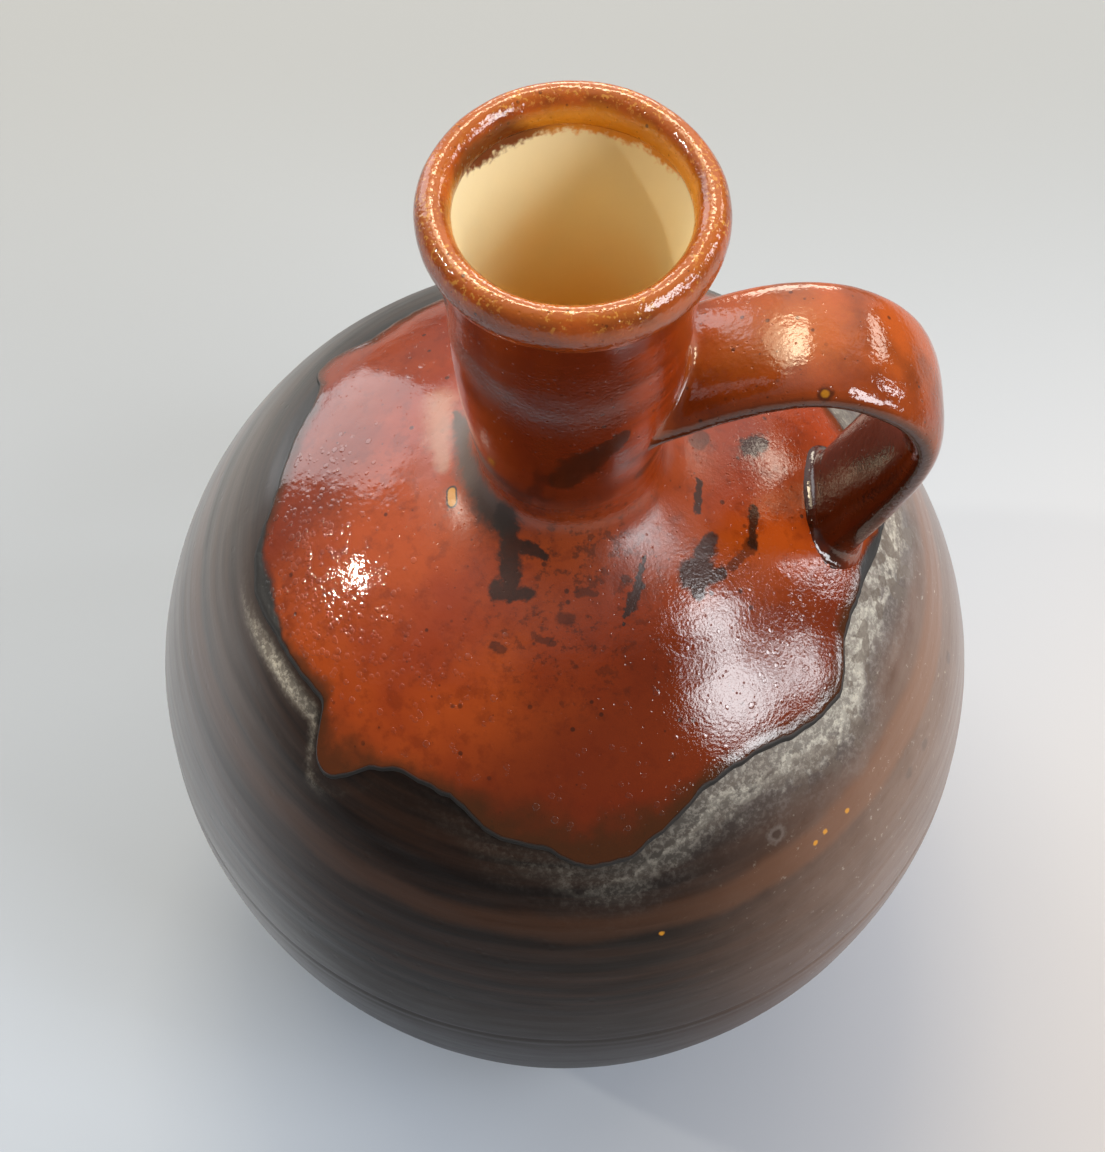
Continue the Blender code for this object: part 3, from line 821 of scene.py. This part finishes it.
class Finish(Nodes):
    """A material made of nodes round one shader, with washes of colour over its first tone."""

    def __init__(self, name, tone, **fixed):
        self.material = bpy.data.materials.new(name)
        self.material.use_nodes = True
        super().__init__(self.material.node_tree)
        self.shader = self.tree.nodes["Principled BSDF"]
        self.tone = tone
        self.set(**fixed)
        self.place = self.node("TexCoord", output="Object")

    def set(self, **values):
        for name, value in values.items():
            self.feed(self.shader.inputs[name.replace("_", " ")], value)

    def done(self, **values):
        """Feeds the shader its tone and these values, and gives the material."""
        self.set(Base_Color=self.tone, **values)
        return self.material

    def mark(self, name):
        return self.node("Attribute", {"attribute_name": name}, output="Fac")

    def axis(self, name):
        return self.node("SeparateXYZ", sockets={0: self.place}, output=name)

    def stretched(self, across, up):
        """The place with its pattern size set on its own across and up the bottle."""
        return self.vector("MULTIPLY", self.place, (1 / across, 1 / across, 1 / up))

    def grain(self, size, detail=2.0, roughness=0.5, place=None):
        """Cloudy noise from 0 to 1 with lumps of this size."""
        return self.noise(place or self.place, size, detail, roughness, 0)

    def noise(self, place, size, detail, roughness, output):
        sockets = {"Vector": place, "Scale": 1 / size, "Detail": detail, "Roughness": roughness}
        return self.node("TexNoise", sockets=sockets, output=output)

    def cells(self, size):
        """The distance from the middle of the nearest cell, 0 to about 1, in cells of this size."""
        sockets = {"Vector": self.place, "Scale": 1 / size}
        return self.node("TexVoronoi", sockets=sockets, output="Distance")

    def ease(self, value, start, end):
        """0 at the start and 1 at the end of a stretch of values, eased between."""
        sockets = {"Value": value, "From Min": start, "From Max": end}
        return self.node("MapRange", {"interpolation_type": "SMOOTHSTEP"}, sockets)

    def fade(self, value, start, end):
        """1 at the start and 0 at the end."""
        return 1 - self.ease(value, start, end)

    def band(self, value, start, full, leave, end):
        """1 from full to leave, eased to 0 at the start and the end."""
        return self.ease(value, start, full) * self.fade(value, leave, end)

    def blend(self, share, low, high):
        return self.node("Mix", {"data_type": "RGBA"}, {0: share, 6: low, 7: high}, output=2)

    def wash(self, share, tint):
        """Lays this share of a colour over the tone."""
        self.tone = self.blend(share, self.tone, tint)

    def pushed(self, size, reach):
        """The place pushed about by roughly this reach, in lumps of this size."""
        push = self.vector("SUBTRACT", self.noise(self.place, size, 4.0, 0.6, "Color"), (0.5,) * 3)
        return self.vector("MULTIPLY_ADD", push, (4 * reach,) * 3, self.place)

    def blot(self, start, end, reach, end_reach=None, place=None, ragged=0.7, soft=0.35):
        """1 along a line from one point to another, 0 outside its reach, with a ragged border."""
        start, end = Vector(start), Vector(end)
        run = end - start
        away = self.vector("SUBTRACT", place or self.place, start)
        if run.length > SEAM:
            share = self.vector("DOT_PRODUCT", away, run / run.length_squared, output="Value")
            share = self.node("Clamp", sockets={"Value": share})
            along = self.node("VectorMath", {"operation": "SCALE"}, {0: run, "Scale": share})
            away = self.vector("SUBTRACT", away, along)
            if end_reach:
                reach = reach + (end_reach - reach) * share
        distance = self.vector("LENGTH", away, output="Value") / reach
        rough = (self.grain(0.0014, 4, 0.65) - 0.5) * (2 * ragged)
        return self.fade(distance + rough, 1 - soft, 1 + soft)

    def dot(self, middle, reach, **border):
        return self.blot(middle, middle, reach, **border)

    def blots(self, lines, size, reach, soft=0.3):
        """All of these blots as one mask, pushed out of shape together."""
        place = self.pushed(size, reach)
        masks = [self.blot(*line, place=place, ragged=0.45, soft=soft) for line in lines]
        return functools.reduce(Socket.most, masks)

    def freckles(self, size, spread):
        """Scattered round specks about a quarter of this size, in patches of this spread."""
        return self.fade(self.cells(size), 0.09, 0.15) * self.ease(self.grain(spread), 0.48, 0.60)

    def lift(self, *layers):
        """Raises the surface by layers of height in metres."""
        height = sum(layers[1:], layers[0])
        self.set(Normal=self.node("Bump", sockets={"Height": height, "Distance": 1.0, "Strength": 1.0}))


def colour(code):
    """A colour from its six-digit code, as the shader takes it."""
    channels = [int(code[n : n + 2], 16) / 255 for n in (0, 2, 4)]
    return (*(c / 12.92 if c <= 0.04045 else ((c + 0.055) / 1.055) ** 2.4 for c in channels), 1)


BRIGHT_RUST = colour("B04A15")
RUST = colour("983810")
DEEP_RUST = colour("682206")
OXBLOOD = colour("561D0C")
IRON_BROWN = colour("26150B")
SMOKE_AND_REFLECTION_GREY = colour("62564F")
PAINTED_SHEEN_TINT = colour("C29A84")
OLIVE_BROWN = colour("40260E")
EDGE_BLACK = colour("16110E")
OCHRE = colour("D08C1E")
HONEY = colour("B46022")
GOLD = colour("D09040")
PEWTER = colour("150E0C")
PEWTER_BROWN = colour("38241A")
MAUVE_GREY = colour("786860")
LOWER_GREY = colour("2C2522")
RING_RUST = colour("7A4E33")
CRUST_CREAM = colour("D6CEBE")
CRUST_GREY = colour("918780")
CRUST_BROWN = colour("65574C")
CREAM = colour("F2E2B6")
CREAM_PAINTED_SHADE = colour("FFCC6E")
STAIN = colour("DC8C24")
BURNT = colour("6A3010")
CLAY = colour("8A5A38")
CLAY_DARK = colour("5E3A22")
FLOOR_GREY = colour("BCC4D0")
FLOOR_PALE = colour("E7EAF1")
FLOOR_SHADE = colour("A6A9AC")
FLOOR_WARM_LIGHT = colour("D6C6B8")


def on_neck(around, height):
    """A point of the glazed neck, in degrees round from the handle and this high."""
    return spot(neck_radius(height), around, height)


def on_pour(around, out):
    """A point of the poured shoulder and its fillet, in degrees round from the handle and this far out."""
    radii, heights = np.array(sorted(pour_fillet()[0])).T
    if out < FILLET_RADIUS:
        return spot(out, around, np.interp(out, radii, heights))
    down = math.asin(out / (BELLY_RADIUS + POUR_THICKNESS))
    return spot(out, around, belly_section(down, POUR_THICKNESS)[1])


def blot_lines(point, *rows):
    """Blots along lines: each row has the two ends, as the point takes them, and the reach at each."""
    return [(point(*row[:2]), point(*row[2:4]), *row[4:]) for row in rows]


# Iron blots, smears and drops in the rust glaze. The smoky smear by the neck's root is partly a painted
# reflection; the pale streak beside it is a painted reflection.
IRON_BLOTS = blot_lines(
    on_neck,
    (-94, 0.2130, -82, 0.2205, 0.0028, 0.0040),
    (-82, 0.2205, -64, 0.2272, 0.0040, 0.0018),
    (-44, 0.2065, -24, 0.2110, 0.0022, 0.0010),
    (108, 0.2080, 128, 0.2110, 0.0036, 0.0022),
) + blot_lines(
    on_pour,
    (-128, 0.0190, -113, 0.0274, 0.0026, 0.0019),
    (-116, 0.0216, -100, 0.0222, 0.0016, 0.0008),
    (-113, 0.0274, -111, 0.0294, 0.0019, 0.0016),
    (-115, 0.0304, -104, 0.0290, 0.0020, 0.0014),
    (-53, 0.0250, -65.5, 0.0314, 0.0003, 0.0011),
    (-65.5, 0.0314, -72, 0.0351, 0.0011, 0.0003),
    (-28, 0.0318, -42, 0.0335, 0.0014, 0.0034),
    (-42, 0.0335, -45, 0.0362, 0.0032, 0.0014),
    (-42, 0.0345, -35, 0.0370, 0.0026, 0.0014),
    (-10, 0.0374, -21, 0.0390, 0.0009, 0.0013),
    (-8, 0.0259, -21, 0.0271, 0.0009, 0.0007),
    (11, 0.0372, 13, 0.0400, 0.0024, 0.0020),
    (104, 0.0325, 99, 0.0405, 0.0026, 0.0014),
    (62, 0.0250, 58, 0.0310, 0.0016, 0.0009),
)
FAINT_BLOTS = blot_lines(
    on_pour,
    (-91, 0.0325, -88, 0.0328, 0.0014, 0.0010),
    (-110, 0.0396, -108, 0.0400, 0.0011, 0.0011),
    (-84, 0.0280, -79, 0.0284, 0.0012, 0.0007),
    (-66, 0.0272, -64, 0.0275, 0.0007, 0.0007),
    (-98, 0.0366, -93, 0.0370, 0.0009, 0.0006),
    (-22, 0.0390, -32, 0.0378, 0.0013, 0.0008),
    (12, 0.0262, 15, 0.0280, 0.0020, 0.0014),
)
# Partly painted reflection: the dark grey smear round the neck's root on the left is a smoky deposit and
# also stands in for the neck's dark side reflected in the fillet.
SMOKE_AND_REFLECTION_SMEAR = blot_lines(
    on_pour,
    (153, 0.0253, 165, 0.0222, 0.0010, 0.0022),
    (165, 0.0222, -164, 0.0193, 0.0022, 0.0038),
    (-164, 0.0193, -131, 0.0198, 0.0038, 0.0038),
)
# A painted reflection: a pale pinkish streak beside the neck's root on the left, standing in for a soft
# reflection in the fillet.
PAINTED_SHEEN_STREAK = blot_lines(
    on_pour,
    (150, 0.0302, 165, 0.0264, 0.0030, 0.0032),
    (165, 0.0264, -177, 0.0244, 0.0032, 0.0016),
)
OCHRE_DROP = (on_pour(-161.5, 0.0238), on_pour(-157, 0.0244))
OCHRE_SPOT = (0.0440, -0.0118, 0.2309)

# Where the rust glaze is mottled, pebbled, duller round the neck's root, and thin on the strap's crest,
# whose golden patch is partly a painted sheen.
MOTTLED = ((0.002, -0.021, 0.186), (0.001, -0.034, 0.183), 0.014)
PEBBLED = ((-0.044, -0.012, 0.178), (-0.062, -0.020, 0.164), 0.026)
HOLLOW = (0.1815, 0.1850, 0.1920, 0.2000)
THIN_CREST_AND_SHEEN = ((0.030, -0.001, 0.231), (0.040, 0.001, 0.234), 0.0075)

# Drops and a crater in the belly's glaze, the rust band round it, and where its greyer lower part begins.
ORANGE_DROPS = ((-50.4, 58.5), (-48.3, 58.1), (-43.6, 58.1), (-75.7, 61.1))
DARK_DROPS = ((-11.2, 64.2), (-25.5, 64.5), (-30.8, 64.3))
CRATER = (0.0430, -0.0631, 0.1492)
RUST_BAND = (0.1380, 0.1405, 0.1430, 0.1460)
BAND_SPREAD = 0.003
LOWER_PART = (0.1125, 0.1165)

RUST_SHINE = 1.62
BLISTER_SHINE = 1.8


def rust_finish(name, shine):
    """The runny rust glaze of the neck and shoulder, for its coat and for its glassier blisters."""
    f = Finish(name, RUST, IOR=shine)
    edge_gap = f.mark("edge_gap")
    across, depth, height = f.axis("X"), f.axis("Y"), f.axis("Z")
    clouds = f.grain(0.022, 5)
    f.wash(f.ease(f.grain(0.03, 3), 0.40, 0.64), BRIGHT_RUST)
    pooled = f.ease(0.5 * across - 0.87 * depth + 0.02 * (clouds - 0.5), 0.026, 0.050)
    f.wash(0.8 * pooled, DEEP_RUST)
    f.wash(0.4 * f.ease(clouds, 0.50, 0.75), DEEP_RUST)
    # Painted shade: the rust is darkened on the upper left of the shoulder, where less light falls.
    upper_left_shade = f.ease(0.5 * depth - 0.87 * across + 0.03 * (clouds - 0.5), 0.030, 0.044)
    f.wash(0.6 * upper_left_shade, DEEP_RUST)
    f.wash(0.4 * f.ease(f.grain(0.0036, 5, 0.65), 0.48, 0.68), DEEP_RUST)
    up_neck = f.ease(height, NECK_BASE - 0.004, NECK_BASE + 0.012)
    streaks = f.grain(1.0, 4, 0.6, f.stretched(0.040, 0.0050))
    shaded = 0.50 * f.ease(0 - depth - 0.6 * across * f.ease(across, 0, 0.01), 0.008, 0.019)
    neck_tone = f.blend(f.ease(streaks - shaded, 0.10, 0.70), OXBLOOD, RUST)
    f.wash(0.85 * up_neck, neck_tone)
    mottled = f.blot(*MOTTLED, soft=0.8)
    f.wash(0.4 * mottled, DEEP_RUST)
    specks = f.freckles(0.0042, 0.012).most(0.7 * f.freckles(0.0021, 0.008))
    specks = specks.most(0.8 * mottled * f.ease(f.grain(0.0024, 5, 0.7), 0.51, 0.62))
    f.wash(0.7 * specks, IRON_BROWN)
    # Painted reflection: the pale streak by the neck's root.
    f.wash(0.55 * f.blots(PAINTED_SHEEN_STREAK, 0.004, 0.0008, soft=0.8), PAINTED_SHEEN_TINT)
    # The smoky smear: a matte deposit, and partly a painted reflection of the neck's dark side.
    smoke_and_reflection = f.blots(SMOKE_AND_REFLECTION_SMEAR, 0.006, 0.0012, soft=0.6)
    burnt = f.ease(0 - depth + 0.02 * (clouds - 0.5), 0.004, 0.016)
    f.wash(0.95 * smoke_and_reflection, f.blend(burnt, SMOKE_AND_REFLECTION_GREY, IRON_BROWN))
    faint = f.blots(FAINT_BLOTS, 0.003, 0.0007)
    f.wash(0.6 * faint, IRON_BROWN)
    iron = f.blots(IRON_BLOTS, 0.0034, 0.0009)
    f.wash(0.9 * iron, IRON_BROWN)
    f.wash(f.blot(*OCHRE_DROP, 0.0013, ragged=0.2, soft=0.15), IRON_BROWN)
    f.wash(f.blot(*OCHRE_DROP, 0.0009, ragged=0.2, soft=0.15), OCHRE)
    wander = f.grain(0.006, 4) - 0.5
    olive_width = 0.0060 + 0.0090 * f.mark("run")
    olive = f.fade(edge_gap / olive_width + 0.9 * wander, 0.25, 1.0)
    f.wash(0.85 * olive, OLIVE_BROWN)
    dark = f.fade(f.mark("dark_edge") + 0.9 * wander, 0.80, 1.35)
    f.wash(dark, EDGE_BLACK)
    rim = f.fade(edge_gap, 0.0007, 0.0018)
    hollow = f.band(height + 0.004 * wander, *HOLLOW)
    bumpy = 0.40 + 0.60 * f.ease(across, -0.02, 0.03)
    pebbled = f.blot(*PEBBLED, soft=0.6)
    f.lift(
        bumpy * f.grain(0.0008, 3, 0.6) * 0.00007,
        bumpy * f.ease(f.cells(0.0018), 0.04, 0.17) * 0.00007,
        pebbled * f.grain(0.0022, 1) * 0.00007,
        pebbled * f.ease(f.cells(0.0027), 0.03, 0.30) * -0.00003,
    )
    roughness = 0.06 + 0.08 * iron + 0.15 * smoke_and_reflection + 0.3 * dark + 0.25 * hollow + 0.6 * rim
    return f.done(Roughness=roughness)


def strap_finish():
    """The rust glaze on the strap, thin and golden on top, where the gold is partly a painted sheen, and
    dark along its edges.
    """
    f = Finish("strap_glaze", BRIGHT_RUST, IOR=RUST_SHINE)
    over, across = f.mark("over"), f.mark("across")
    clouds = f.grain(0.012, 5)
    f.wash(f.ease(clouds, 0.36, 0.70), DEEP_RUST)
    # Partly painted sheen: the honey patch on the crest near the neck is thin glaze and also stands in for
    # a soft golden reflection.
    crest = f.blot(*THIN_CREST_AND_SHEEN, soft=0.9)
    f.wash(0.25 + 0.5 * crest, HONEY)
    near_side = f.ease(0 - across + 0.6 * (clouds - 0.5), 0.15, 0.75)
    f.wash(0.5 * near_side, DEEP_RUST)
    f.wash(0.8 * f.ease(f.mark("along"), 0.50, 0.70), DEEP_RUST)
    f.wash(0.9 * f.fade(over, -0.75, 0.1), OXBLOOD)
    f.wash(0.6 * f.fade(over + 0.8 * (clouds - 0.5), -0.8, -0.1), IRON_BROWN)
    edges = f.ease(across * across, 0.82, 0.96) * f.fade(over, -0.1, 0.5)
    f.wash(0.8 * edges, IRON_BROWN)
    specks = f.freckles(0.0034, 0.009).most(0.8 * f.freckles(0.0017, 0.006))
    f.wash(0.65 * specks, IRON_BROWN)
    f.wash(0.7 * f.dot(OCHRE_SPOT, 0.0014), IRON_BROWN)
    f.wash(0.6 * f.dot(OCHRE_SPOT, 0.0007, ragged=0.3), OCHRE)
    f.lift(f.grain(0.0012, 2) * 0.00009, f.ease(f.cells(0.0018), 0.04, 0.17) * 0.00006)
    return f.done(Roughness=0.07 + 0.06 * clouds + 0.08 * crest)


def scorched(f, clouds):
    """1 on the far left of the mouth, where the lip's glaze burnt brown."""
    return f.ease(f.axis("Y") - 1.2 * f.axis("X") + 0.02 * (clouds - 0.5), 0.018, 0.030)


def lip_finish():
    """The lip's glaze: rust outside, honey where it thins over the crest and partly a painted golden
    highlight there, gold specks that are painted glints, amber and brown inside.
    """
    f = Finish("lip_glaze", BRIGHT_RUST, IOR=RUST_SHINE)
    roll = f.mark("roll")
    clouds = f.grain(0.007, 5)
    around = roll + (clouds - 0.5) * 0.8
    f.wash(f.ease(clouds, 0.34, 0.66), DEEP_RUST)
    # Honey over the crest: partly the glaze thinning there, partly a painted golden highlight.
    f.wash(0.30 + 0.55 * f.band(around, 0.7, 1.3, 1.9, 2.4), HONEY)
    f.wash(0.45 * f.fade(around, -0.3, 0.6), DEEP_RUST)
    inside = f.blend(scorched(f, clouds), STAIN, BURNT)
    f.wash(f.ease(around, 2.2, 2.9), inside)
    # Painted glints: fine gold specks over the crest.
    painted_glints = f.ease(f.grain(0.0008, 2, 0.6), 0.54, 0.64) * f.ease(f.grain(0.006), 0.40, 0.60)
    f.wash(0.8 * painted_glints * f.band(roll, 0.2, 0.9, 2.0, 2.6), GOLD)
    specks = f.freckles(0.0026, 0.006).most(0.8 * f.freckles(0.0014, 0.004))
    f.wash(0.7 * specks, IRON_BROWN)
    f.lift(f.grain(0.0010, 2) * 0.00012, f.ease(f.cells(0.0013), 0.06, 0.26) * 0.00006)
    return f.done(Roughness=0.07 + 0.06 * clouds)


def pewter_finish():
    """The belly's satin glaze: dark rings, a rust band, a greyer foot and a pale crust under the pour."""
    f = Finish("pewter_glaze", PEWTER, IOR=1.28, Coat_IOR=1.75, Coat_Roughness=0.24)
    height, across = f.axis("Z"), f.axis("X")
    below, crusted = f.mark("below_pour"), f.mark("crust")
    right_side = f.ease(across, 0.015, 0.080)
    sides = f.ease(across * across, 0.0010, 0.0058)
    rings = f.grain(1.0, 5, 0.6, f.stretched(0.09, 0.0036))
    flecks = f.grain(1.0, 5, 0.65, f.stretched(0.007, 0.0026))
    clouds = f.grain(0.016, 5, 0.6)
    grit = f.grain(0.0011, 4, 0.7)
    wander = (clouds - 0.5) * 0.004
    lower = f.fade(height + wander, *LOWER_PART)
    f.wash(0.75 * f.ease(rings, 0.36, 0.70), PEWTER_BROWN)
    f.wash(lower, LOWER_GREY)
    # Greyer towards the right: partly the grey mottling round the crust, partly a painted sheen near the
    # limb.
    f.wash(right_side * (0.26 + 0.40 * f.ease(clouds, 0.35, 0.65)), MAUVE_GREY)
    # Painted sheen: mauve grey towards the left limb, where the glaze catches a grazing reflection.
    left_limb_sheen = f.ease(0 - across, 0.045, 0.090)
    f.wash(left_limb_sheen * (0.25 + 0.20 * f.ease(rings, 0.35, 0.65)), MAUVE_GREY)
    f.wash(0.55 * right_side * f.ease(flecks, 0.56, 0.66), PEWTER_BROWN)
    start, full, leave, end = RUST_BAND
    spread = BAND_SPREAD * right_side
    band = f.band(height + wander, start, full, leave + spread, end + spread)
    f.wash(band * (0.18 + 0.60 * right_side), RING_RUST)
    patches = f.grain(0.0060, 3, 0.55)
    salt = f.ease(grit, 0.44, 0.64)
    f.wash(0.45 * right_side * f.ease(below, 0.008, 0.016), RING_RUST)
    frost = crusted * f.ease(1 - below / 0.022 + 0.9 * (patches - 0.5), 0.10, 0.60)
    f.wash(frost * (0.30 + 0.60 * salt), CRUST_GREY)
    edging = crusted * f.ease(1 - below / 0.011 + 1.6 * (patches - 0.5), 0.10, 0.50)
    f.wash(edging * (0.30 + 0.50 * salt), CRUST_CREAM)
    ragged = below + 0.016 * (patches - 0.5) + 0.003 * (grit - 0.5)
    crest = crusted * f.band(ragged, 0.0030, 0.0045, 0.0052, 0.0070)
    f.wash(crest * (0.45 + 0.50 * salt), CRUST_CREAM)
    islands = f.ease(f.grain(0.0048, 3, 0.5), 0.53, 0.57) * right_side
    islands = islands * f.fade(below, 0.010, 0.016)
    f.wash(0.85 * islands, CRUST_BROWN)
    f.wash(0.45 * right_side * f.ease(f.grain(0.0018, 4, 0.7), 0.62, 0.74), CRUST_CREAM)
    for drop in ORANGE_DROPS:
        f.wash(f.dot(on_shoulder(*drop, 0), 0.0006), OCHRE)
    for drop in DARK_DROPS:
        f.wash(0.5 * f.dot(on_shoulder(*drop, 0), 0.0013), PEWTER_BROWN)
    f.wash(0.3 * f.dot(CRATER, 0.0020), CRUST_GREY)
    f.wash(0.8 * f.dot(CRATER, 0.0011), PEWTER_BROWN)
    f.lift(
        f.grain(1.0, 3, 0.6, f.stretched(0.04, 0.0013)) * 0.00004,
        f.grain(0.0012, 3) * 0.00002,
        f.ease(f.cells(0.006), 0.05, 0.16) * 0.00003,
        flecks * right_side * 0.00008,
        edging * salt * 0.00012,
        (1 - islands) * 0.00006,
    )
    roughness = 0.26 + 0.14 * clouds + 0.10 * lower + 0.25 * edging
    coat = 0.03 + sides * (0.85 - 0.20 * right_side) * (1 - 0.6 * edging)
    return f.done(Roughness=roughness, Coat_Weight=coat)


def cream_finish():
    """The cream lining: a deeper golden down the neck, which is painted shade, and stained under the lip by
    its glaze.
    """
    f = Finish("cream_lining", CREAM_PAINTED_SHADE, IOR=1.5)
    height, depth = f.axis("Z"), f.axis("Y")
    clouds = f.grain(0.02, 3)
    # Painted shade: the deeper, more golden cream down the neck stands in for the shade and bounced light
    # inside; the paler cream lies higher up.
    f.wash(f.ease(height + 0.02 * (clouds - 0.5), 0.205, 0.250), CREAM)
    wander = (f.grain(0.008, 4) - 0.5) * 0.005 + (f.grain(0.0010, 3) - 0.5) * 0.003
    sagging = 0.0030 * f.ease(depth, 0.004, 0.016)
    stained = f.ease(height + wander + sagging, LIP_HEIGHT - 0.0012, LIP_HEIGHT + 0.0004)
    f.wash(stained, f.blend(scorched(f, clouds), STAIN, BURNT))
    f.lift(f.grain(0.002, 2) * 0.00002)
    return f.done(Roughness=0.30 + 0.1 * clouds)


def clay_finish():
    """Bare stoneware: the foot, and the clay hidden under the glazes."""
    f = Finish("bare_clay", CLAY, IOR=1.45)
    grit = f.grain(0.0012, 4, 0.7)
    clouds = f.grain(0.012, 3)
    f.wash(f.ease(clouds, 0.35, 0.7), CLAY_DARK)
    f.wash(0.5 * f.ease(grit, 0.55, 0.7), CLAY_DARK)
    f.lift(grit * 0.00008)
    return f.done(Roughness=0.82 + 0.1 * clouds)


def floor_finish():
    """The pale floor: greyer round the bottle, shaded behind it, and with painted warm light on the right.
    """
    f = Finish("pale_floor", FLOOR_GREY)
    away = f.vector("LENGTH", f.place, output="Value")
    pale = f.ease(away, 0.28, 0.80) * f.fade(f.axis("Y"), 0.0, 0.4)
    f.wash(pale, FLOOR_PALE)
    f.wash(f.ease(f.axis("Y"), 0.0, 0.30), FLOOR_SHADE)
    # Painted light: a warm tint on the floor to the right, standing in for warm light falling there.
    warm_light = f.ease(f.axis("X") - 0.5 * f.axis("Y"), -0.05, 0.40) * f.fade(f.axis("Y"), 0.0, 0.25)
    f.wash(0.8 * warm_light, FLOOR_WARM_LIGHT)
    return f.done(Roughness=0.9 + 0.05 * f.grain(0.1))


def make_camera():
    camera = bpy.data.objects.new("camera", bpy.data.cameras.new("camera"))
    bpy.context.scene.collection.objects.link(camera)
    turn = Matrix.Rotation(CAMERA_YAW, 4, "Z") @ Matrix.Rotation(QUARTER_TURN - CAMERA_PITCH, 4, "X")
    turn = turn @ Matrix.Rotation(CAMERA_ROLL, 4, "Z")
    camera.matrix_world = Matrix.Translation(CAMERA_PLACE) @ turn
    camera.data.lens = CAMERA_LENS
    camera.data.sensor_width = SENSOR
    bpy.context.scene.camera = camera


def make_lamp(name, around, up, away, size, glow, tint):
    """A soft box that faces the bottle. Its glow is how bright its face looks."""
    lamp = bpy.data.lights.new(name, "AREA")
    lamp.shape = "RECTANGLE"
    lamp.size, lamp.size_y = size
    lamp.energy = glow * math.pi * size[0] * size[1]
    lamp.color = tint
    holder = bpy.data.objects.new(name, lamp)
    bpy.context.scene.collection.objects.link(holder)
    reach = heading(math.radians(around), QUARTER_TURN - math.radians(up)) * away
    turn = reach.to_track_quat("Z", "Y").to_matrix().to_4x4()
    holder.matrix_world = Matrix.Translation(LAMP_AIM + reach) @ turn
    holder.visible_camera = False


def light_room():
    """The dim room round the stage: brightest overhead and towards the back."""
    world = bpy.context.scene.world or bpy.data.worlds.new("room")
    bpy.context.scene.world = world
    world.use_nodes = True
    room = Nodes(world.node_tree)
    way = room.node("TexCoord", output="Generated")
    near = room.vector("DOT_PRODUCT", way, ROOM_BRIGHT_WAY, output="Value")
    sockets = {"Value": near, "From Min": ROOM_BRIGHT_FROM, "To Min": ROOM_LOW, "To Max": ROOM_HIGH}
    backdrop = world.node_tree.nodes["Background"]
    room.feed(backdrop.inputs["Strength"], room.node("MapRange", sockets=sockets))
    room.feed(backdrop.inputs["Color"], WHITE)


def make_stage():
    """A pale floor, soft boxes round the bottle and a dim room."""
    circle = bpy.ops.mesh.primitive_circle_add
    floor = begin("floor", circle, vertices=FLOOR_SIDES, radius=FLOOR_RADIUS, fill_type="NGON")
    floor.data.materials.append(floor_finish())
    for name, settings in LAMPS.items():
        make_lamp(name, *settings)
    light_room()


def dress(piece, material, slot, *nodes):
    """Gives a modelled piece its finish and its place in the frame."""
    piece.data.materials.append(material)
    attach(piece, "root")
    if nodes:
        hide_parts(*nodes)


make_camera()
dress(make_belly(), pewter_finish(), "pewter_belly_glaze", "belly_glaze")
rust = rust_finish("rust_glaze", RUST_SHINE)
dress(make_poured_coat(), rust, "rust_shoulder_glaze", "shoulder_apron", "neck_glaze")
dress(make_blisters(), rust_finish("blister_glaze", BLISTER_SHINE), "rust_shoulder_glaze")
dress(make_lip(), lip_finish(), "amber_rim_glaze", "rim_glaze")
dress(make_lining(), cream_finish(), "cream_liner_glaze", "liner_glaze")
dress(make_strap(), strap_finish(), "rust_shoulder_glaze", "handle_glaze")
clay = clay_finish()
for name in ("body_wall", "neck_collar", "handle_strap", "upper_luting", "lower_luting"):
    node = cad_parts[name]
    node.data.materials.clear()
    node.data.materials.append(clay)
make_stage()
bpy.context.scene.view_settings.view_transform = "Standard"
